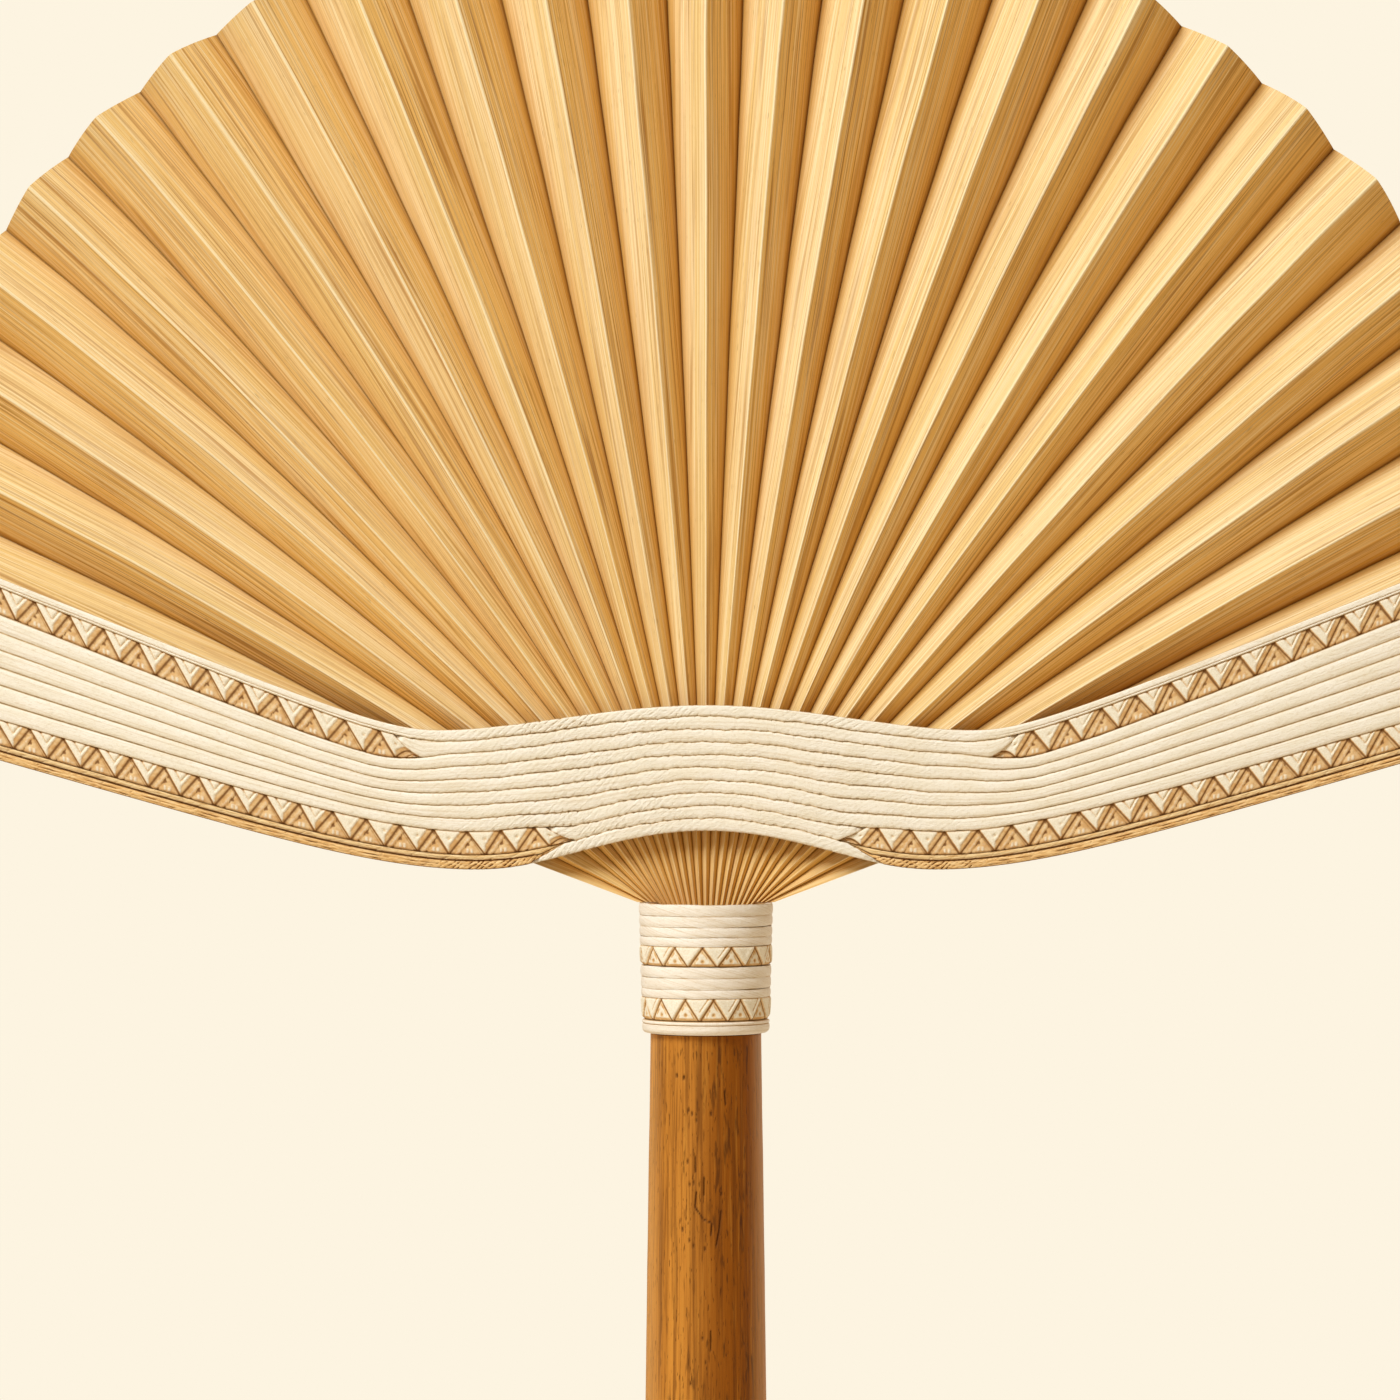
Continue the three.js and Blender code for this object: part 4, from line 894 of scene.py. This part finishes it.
def run_of(line, start, end, stray):
    """The places across and over the apex along a line of the leaf, from its root to its tip, and
    their distances from the apex. Below the bend the line runs straight over its rim place."""
    straight, rim_x, margin, lean = line
    radius = BEND_RADIUS + (end - BEND_RADIUS) * np.linspace(0, 1, 42) ** 0.9
    angle = straight + lean * (radius - FLARE_PIVOT)
    sideways = margin + stray * (radius - BEND_RADIUS) / (TIP_RADIUS - BEND_RADIUS)
    outer = np.stack([radius * np.sin(angle) + sideways * np.cos(angle),
                      radius * np.cos(angle) - sideways * np.sin(angle)])
    foot = np.array([rim_x + margin / math.cos(straight), APEX_DEPTH])
    root = foot + (outer[:, 0] - foot) * (start - APEX_DEPTH) / (outer[1, 0] - APEX_DEPTH)
    share = np.linspace(0, 1, 9)[:-1]
    inner = root[:, None] + (outer[:, :1] - root[:, None]) * share
    depth = 0.5 * ROOT_PLEAT_DEPTH + (half_pleat(BEND_RADIUS) - 0.5 * ROOT_PLEAT_DEPTH) * share
    across, up = np.concatenate([inner, outer], axis=1)
    return across, up, np.hypot(across, up), np.concatenate([depth, half_pleat(radius)])


def make_strip(name, number, guard_side, solid, seed):
    """Makes one folded strip, or a guard's half strip, as lines that run from root to tip."""
    outer_rim = rim_place(abs(number) + 0.5)
    on_rim = guard_side or outer_rim >= SLEEVE_BORE - RIM_INSET
    start = APEX_DEPTH + RIM_LIFT if on_rim else TANG_TOP - APEX + TANG_LIFT
    lines = []
    for side in (-guard_side,) if guard_side else (-1, 1):
        ridge = fold_line(number, guard_side)
        valley = fold_line(number + 0.5 * side)
        drifts = [70 + 2 * number, 70 + 2 * number + side]
        shares = HALF_STRIP[0 if guard_side else 1:] if side > 0 else HALF_STRIP[::-1]
        lines += [(near, side, ridge, valley, drifts) for near in shares]
    wall = half_wall(max(abs(ridge[0] - valley[0]) for _, _, ridge, valley, _ in lines))
    front, back = [], []
    notes = {"fibre": [], "valley": [], "ridge": [], "node_mark": [], "facing_light": []}
    for near, side, ridge, valley, drifts in lines:
        line = ridge + (valley - ridge) * near
        direction, _, _, lean = line
        end = leaf_outline(direction + lean * (LEAF_RADIUS - FLARE_PIVOT))
        end -= SCALLOP_DEPTH * near ** SCALLOP_POWER
        end += 0.1 * math.sin(2.1 * near * side + 4 * number)
        places = np.linspace(0, 150, 42)
        stray = 0.14 * ((1 - near) * wander(places, 90, drifts[0]) + near * wander(places, 90, drifts[1]))
        across, up, radius, depth = run_of(line, start, end, stray)
        softened = math.hypot(near, RIDGE_SOFTNESS) - RIDGE_SOFTNESS
        height = 1 - 2 * softened / (math.hypot(1, RIDGE_SOFTNESS) - RIDGE_SOFTNESS)
        height = height * (1 + 0.03 * wander(radius, 120, seed))
        bulge = FACE_BULGE * (radius / TIP_RADIUS) * 4 * near * (1 - near)
        knot = 0 * radius
        if number == NODE_NUMBER and not guard_side:
            knot = line_mark(radius, NODE_RADIUS - 0.6, 0.3) + line_mark(radius, NODE_RADIUS + 0.6, 0.3)
        for facing, rows in ((-1, front), (1, back)):
            joint = VALLEY_JOINT * np.clip((near - 0.94) / 0.06, 0, 1) * (facing < 0)
            y = facing * wall - height * depth - bulge - 0.05 * knot * (facing < 0)
            rows.append(np.stack([across - side * joint * math.cos(direction), y,
                                  APEX + up + side * joint * math.sin(direction)], axis=-1))
        spread = abs(ridge - valley)
        width = FACE_STRETCH * np.interp(radius, (APEX_DEPTH, BEND_RADIUS, TIP_RADIUS),
                                         (spread[1], spread[0] * BEND_RADIUS, spread[0] * TIP_RADIUS))
        strip_place = 0 * radius + 7.3 * number + 3 * side
        notes["fibre"].append(np.stack([side * near * width, radius, strip_place], axis=-1))
        shown = np.cbrt(width * STAIN_FACE ** 2)
        notes["valley"].append((1 - near) * shown)
        notes["ridge"].append(near * shown)
        notes["node_mark"].append(knot)
        # Painted shade side: positive on faces turned to the light at the upper left, negative on those
        # turned away.
        notes["facing_light"].append(0 * radius - side * math.sin(ridge[0] - PAINTED_LIGHT_ANGLE) * min(8 * near, 1))
    rings = np.stack(front + back[::-1], axis=1)
    piece = skin(name, rings, {note: np.stack(rows + rows[::-1], axis=1) for note, rows in notes.items()})
    fit(piece, strip_finish, "bamboo", solid)


strip_finish = leaf_bamboo()
for count, number in enumerate(range(-PLEATS_PER_SIDE, PLEATS_PER_SIDE + 1), start=1):
    make_strip(f"pleat_{count:02d}", number, 0, f"splint_{count:02d}", 100 + count)
make_strip("guard_pleat_left", -PLEATS_PER_SIDE - 1, -1, "guard_splint_left", 130)
make_strip("guard_pleat_right", PLEATS_PER_SIDE + 1, 1, "guard_splint_right", 131)

# Band boards and wing battens: two thin shaped boards clamp the pleats, and a bamboo batten fills
# each wing below the leaf. They hide under the cords, so their solids stay.
refinish("band_board_front", kraft_paper())
refinish("band_board_back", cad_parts["band_board_front"].data.materials[0])
batten_bamboo = split_bamboo("batten_bamboo", 0)
refinish("wing_core_left", batten_bamboo)
refinish("wing_core_right", batten_bamboo)

# Band cords: ten flat twisted paper cords glued side by side on the front board. Seven run its
# whole length. The second, ninth and tenth stop where the zigzag and the edging start.
TOP_EDGE = {"rise": 26.9, "slope": 0.396, "knee": 48.7, "crown": 6.26}
BOTTOM_EDGE = {"rise": -0.57, "slope": 0.286, "knee": 32.7, "crown": 12.56}
KNEE_SOFTNESS = 7.1
CROWN_SPREAD = 36.2
BOARD_THICKNESS = 0.8
BOARD_SEAT = 0.3
CORD_DEPTH = 1.5
CORD_SEAT = 0.12
CORD_CREVICE = 0.03
CREASE_SHARE = 0.15
WAVER = 0.13
LEAST_WAVER = 0.02
WAVER_SPREAD = 44
RIM_CORD = (1.95, 1.55)
UPPER_ROWS = (4.05, 5.8)
LOWER_ROWS = (4.26, 6.4)
EDGE_ROW = (2.13, 2.45)
UPPER_CHANGE = 49
LOWER_CHANGE = 26
EDGE_CHANGE = 29.5
CHANGE_LENGTH = 16
PLAIN_CORDS = 6
LAST_ROW = PLAIN_CORDS + 4
ZIGZAG_PITCH = 5.7


def band_edge(x, edge):
    """The height of one edge of the band at a distance across the fan."""
    beyond = np.abs(x) - edge["knee"]
    wing = 0.5 * edge["slope"] * (beyond + np.hypot(beyond, KNEE_SOFTNESS))
    return COLLAR_TOP + edge["rise"] + wing + edge["crown"] * np.exp(-((x / CROWN_SPREAD) ** 2))


def band_width(x):
    """The band's width square to its middle line."""
    step = 0.5
    ends = [band_edge(x + s, TOP_EDGE) + band_edge(x + s, BOTTOM_EDGE) for s in (-step, step)]
    tilt = np.arctan2(0.5 * (ends[1] - ends[0]), 2 * step)
    return (band_edge(x, TOP_EDGE) - band_edge(x, BOTTOM_EDGE)) * np.cos(tilt)


def band_height(x, below):
    """The height of a line that lies a distance below the upper edge, square to the band."""
    top = band_edge(x, TOP_EDGE)
    return top - (top - band_edge(x, BOTTOM_EDGE)) * below / band_width(x)


def changed(x, place, widths):
    """A row's width, which changes from its value in the middle to its value in the wing."""
    share = soften((np.abs(x) - place) / CHANGE_LENGTH + 0.5)
    return widths[0] + (widths[1] - widths[0]) * share


def row_line(line, x):
    """How far below the upper edge the line under a row lies, and 0 for the upper edge itself."""
    width = band_width(x)
    if line == 0:
        return 0 * x
    if line == 1:
        return changed(x, UPPER_CHANGE, RIM_CORD)
    if line == LAST_ROW:
        return width
    if line == LAST_ROW - 1:
        return width - changed(x, EDGE_CHANGE, EDGE_ROW)
    upper = changed(x, UPPER_CHANGE, UPPER_ROWS)
    lower = changed(x, LOWER_CHANGE, LOWER_ROWS)
    return upper + (width - upper - lower) * (line - 2) / PLAIN_CORDS


def board_face(x):
    """How far a board's outer face stands off the leaf's middle plane."""
    to_top = np.hypot(x, band_edge(x, TOP_EDGE) - APEX)
    return half_pleat(to_top) + half_wall(fold_angle(0.5)) + BOARD_SEAT + BOARD_THICKNESS


def laid_line(line, x):
    """A line between two laid cords, which wavers a little, most of all over the band's middle."""
    if line in (0, LAST_ROW):
        return row_line(line, x)
    waver = WAVER * np.exp(-((x / WAVER_SPREAD) ** 2)) + LEAST_WAVER
    drift = wander(x, 17, 900 + line) + 0.5 * wander(x, 4.5, 920 + line) + 0.4 * wander(x, 1.9, 940 + line)
    return row_line(line, x) + waver * drift


def spliced(x, place, length):
    """How far a row has changed at a splice: 0 on the band's middle side and 1 beyond it."""
    return np.clip((np.abs(x) - place) / length + 0.5, 0, 1)


def lay_cord(name, finish, slot, x, above, below, depth, face, seed, creasing, solid, spacing, grooves=()):
    """Lays one cord on a board, between a line above and a line below, across the places x. Fine
    grooves run along its outer face, each at a share across it and with a strength along it."""
    middle = band_height(x, 0.5 * (above + below))
    tilt = np.arctan2(np.gradient(middle), np.gradient(x))
    half_width = np.maximum(0.5 * (below - above) - CORD_CREVICE, 0.02)
    across, out, crown = cord_section(1.0, 1.0, top_points=33 if grooves else CORD_TOP_POINTS)
    thick = 0.5 * depth * np.clip(half_width / 0.55, 0.3, 1)
    reach = half_width[:, None] * across
    crease = np.clip(creases(x[:, None], reach, seed, spacing) * creasing[:, None], 0, 1) * (out > 0)
    for share, strength in grooves:
        crease = np.maximum(crease, line_mark(across, share, 0.13) * strength[:, None] * (out > 0))
    y = board_face(x)[:, None] + CORD_SEAT + thick[:, None] * (1 + out) - CREASE_SHARE * depth * crease
    reach = reach * (1 - 0.03 * crease)
    rings = np.stack([x[:, None] - reach * np.sin(tilt)[:, None], face * y,
                      middle[:, None] + reach * np.cos(tilt)[:, None]], axis=-1)
    length = x[:, None] + 0 * reach
    slanted = length - CREASE_SLANT * reach * (creasing[:, None] > 0.3)
    lay = np.stack([slanted, reach, 0 * reach + seed], axis=-1)
    slack = np.clip(creasing, 0, 1)[:, None] + 0 * reach
    # Creases take the painted groove shade as well.
    crown = crown * np.clip(1 - 0.9 * crease, 0, 1)
    piece = skin(name, rings, {"lay": lay, "crown": crown, "slack": slack}, sharp=55)
    fit(piece, finish, slot, solid)


FINE_REACH = 60
UPPER_SPLICE = (UPPER_CHANGE + 1, 5)
LOWER_SPLICE = (LOWER_CHANGE - 1.5, 5)
EDGE_SPLICE = (26.7, 6.6)
band_paper = twisted_paper("band_paper_cord", "FDF5E7", "F6ECD8", "CEAD7E")
for row in range(1, LAST_ROW + 1):
    splice = {2: UPPER_SPLICE, 9: LOWER_SPLICE, 10: EDGE_SPLICE}.get(row)
    half_length = splice[0] + 0.45 * splice[1] if splice else BAND_REACH
    fine_end = min(half_length, FINE_REACH)
    inner = np.arange(-fine_end, fine_end + 0.01, 0.14)
    outer_count = max(int((half_length - FINE_REACH) / 0.6), 0)
    outer = np.linspace(FINE_REACH + 0.5, half_length, outer_count)
    x = np.concatenate([-outer[::-1], inner, outer])
    above, below = laid_line(row - 1, x), laid_line(row, x)
    if row == LAST_ROW:
        above = above + (below - above) * spliced(x, *splice)
    elif splice:
        below = below - (below - above) * spliced(x, *splice)
    middle_creases = np.exp(-(((x + 22) / 24) ** 2)) + 0.6 * np.exp(-(((x - 30) / 16) ** 2))
    row_creases = 1.0 if row in (1, 8, 9, 10) else 0.75
    creasing = 0.06 + row_creases * np.clip(middle_creases * (0.8 + 0.4 * wander(x, 24, 60 + row)), 0, 1)
    in_wing = soften((np.abs(x) - UPPER_CHANGE) / CHANGE_LENGTH + 0.5)
    grooves = [(-0.45, in_wing)] if row == 1 else []
    lay_cord(f"laid_cord_{row:02d}", band_paper, "cord", x, above, below, CORD_DEPTH, -1, 200 + 7 * row,
             creasing, f"band_cord_{row:02d}", 1.5, grooves)

# Wing zigzags: straight strips of the same pressed ornament, glued under the rim cord and over the
# edging of each wing. Its raised triangles lean on a small rod at their right.
ENGRAVED_PLACE = 62
ENGRAVED_SPREAD = 16


def press_strip(name, side, upper_line, start, splice, seed, solid):
    """A zigzag strip of one wing, below a row line, from its start near the middle to the wing's
    end. At the splice with the cord it rises from a point to its full height."""
    count = round((BAND_REACH - start) / ZIGZAG_PITCH)
    pitch = (BAND_REACH - start) / count
    lead = (start - splice[0] + 0.45 * splice[1]) / pitch
    steps = np.linspace(-lead, count, count * 34 + 20)[:, None]
    share = np.linspace(0, 1, 29)[None, :]
    x = start + steps * pitch
    below = row_line(upper_line + 1, x) - CORD_CREVICE
    full = below - row_line(upper_line, x) - CORD_CREVICE
    rise = np.clip(spliced(x, *splice), 0.12, 1)
    along = steps + 1 if side > 0 else count - steps
    wing = soften((x - ENGRAVED_PLACE) / ENGRAVED_SPREAD + 0.5)
    height = float(full.mean())
    level, brown = pressed_zigzag(along + 0 * share, share + 0 * steps, pitch, height, seed, wing)
    z = band_height(x, below - full * rise * share)
    flat = board_face(x) + CORD_SEAT
    y = flat + level * (0.4 + 0.6 * rise)
    wide = side * x + 0 * share
    rings = np.stack([with_back(wide), -np.concatenate([y, flat, flat], axis=1), with_back(z)], axis=-1)
    lay = np.stack([rings[..., 0], rings[..., 2], 0 * rings[..., 0] + seed], axis=-1)
    fit(skin(name, rings, {"lay": lay, "brown": with_back(brown)}), zigzag_paper, "zigzag", solid)


lower_line = PLAIN_CORDS + 2
lower_start = LOWER_CHANGE - ZIGZAG_PITCH / 2
press_strip("upper_zigzag_strip_left", -1, 1, UPPER_CHANGE, UPPER_SPLICE, 51, "zigzag_upper_left")
press_strip("upper_zigzag_strip_right", 1, 1, UPPER_CHANGE, UPPER_SPLICE, 52, "zigzag_upper_right")
press_strip("lower_zigzag_strip_left", -1, lower_line, lower_start, LOWER_SPLICE, 53, "zigzag_lower_left")
press_strip("lower_zigzag_strip_right", 1, lower_line, lower_start, LOWER_SPLICE, 54, "zigzag_lower_right")

# Edging: two strands of tan bark fibre along the lower edge of each wing, a thin one under the
# zigzag and a stout one below it. Slanted bites cross the stout one near its inner end, small
# notches follow where it is stitched down, and two fine seams run on towards the wing's end.
THIN_STRAND = 0.95
STRAND_DEPTHS = (1.35, 1.9)
NOTCH_PITCH = 5.2
BITES_PLACE = 36
BITES_SPREAD = 8


def bark_fibre(name, light_code, dark_code):
    """Stripped bark fibre: tan with long darker streaks, and painted shade at its edges and in its bites."""
    finish, shader = finished(name, 0.65, 0.25)
    place = noted(finish, "lay", "Vector")
    crown = noted(finish, "crown")
    streaks = grain_of(finish, place, (0.35, 4.2, 1.0), 3, 0.6)
    colour = stain(finish, between(finish, streaks, 0.35, 0.68), paint(light_code), paint(dark_code))
    dashes = grain_of(finish, place, (0.55, 4.5, 1.0), 2, 0.5, 0.4)
    colour = glaze(finish, colour, between(finish, dashes, 0.55, 0.63), "A06C30", 0.45)
    colour = glaze(finish, colour, between(finish, dashes, 0.45, 0.36), "F5DDB0", 0.4)
    # Painted shade where the crown note is low: at the strand's edges and in its bites, notches and seams.
    colour = glaze(finish, colour, between(finish, crown, 0.8, 0.1), "8A5826")
    height = reckon(finish, "SUBTRACT", streaks, dashes)
    surface(finish, shader, colour, height, 0.12)
    return finish


thin_bark = bark_fibre("thin_bark_strand", "F4D8A4", "E2B878")
stout_bark = bark_fibre("stout_bark_strand", "F3CC90", "DDAA66")
for side, word in ((-1, "left"), (1, "right")):
    x = np.arange(EDGE_SPLICE[0] - 0.45 * EDGE_SPLICE[1], BAND_REACH, 0.13)
    x = -x[::-1] if side < 0 else x
    top_line = row_line(LAST_ROW - 1, x)
    low_line = top_line + (row_line(LAST_ROW, x) - top_line) * spliced(x, *EDGE_SPLICE)
    parting = top_line + THIN_STRAND * np.clip(spliced(x, *EDGE_SPLICE) * 1.5, 0, 1)
    notches = line_mark((x / NOTCH_PITCH + 0.12 * wander(x, 23, 71)) % 1, 0.5, 0.05)
    bitten = np.exp(-(((np.abs(x) - BITES_PLACE) / BITES_SPREAD) ** 2))
    bites = 0.2 + 2.0 * bitten * np.clip(0.7 + 0.9 * wander(x, 5, 77 + side), 0.15, 1) + 0.5 * notches
    beyond = soften((np.abs(x) - BITES_PLACE - 4) / 8)
    seam = [(0.1, beyond * np.clip(0.5 + 0.7 * wander(x, 9, 73), 0, 1)),
            (-0.55, beyond * np.clip(0.4 + 0.7 * wander(x, 7, 75), 0, 1))]
    lay_cord(f"thin_edging_{word}", thin_bark, "edge_rope", x, top_line, np.minimum(parting, low_line),
             STRAND_DEPTHS[0], -1, 300 + side, 0.5 + 0 * x, f"edge_rope_{word}", 2.9)
    lay_cord(f"stout_edging_{word}", stout_bark, "edge_rope", x, np.minimum(parting, low_line), low_line,
             STRAND_DEPTHS[1], -1, 304 + side, bites, f"edge_rope_{word}", 1.05, seam)

# Back cords: ten plain paper cords of equal width on the back board, from wing end to wing end.
for row in range(LAST_ROW):
    x = np.linspace(-BAND_REACH, BAND_REACH, 420)
    width = band_width(x)
    lay_cord(f"back_cord_{row + 1:02d}", band_paper, "cord", x, width * row / LAST_ROW,
             width * (row + 1) / LAST_ROW, CORD_DEPTH, 1, 400 + 5 * row, 0.25 + 0 * x, "band_cords_back", 3.4)
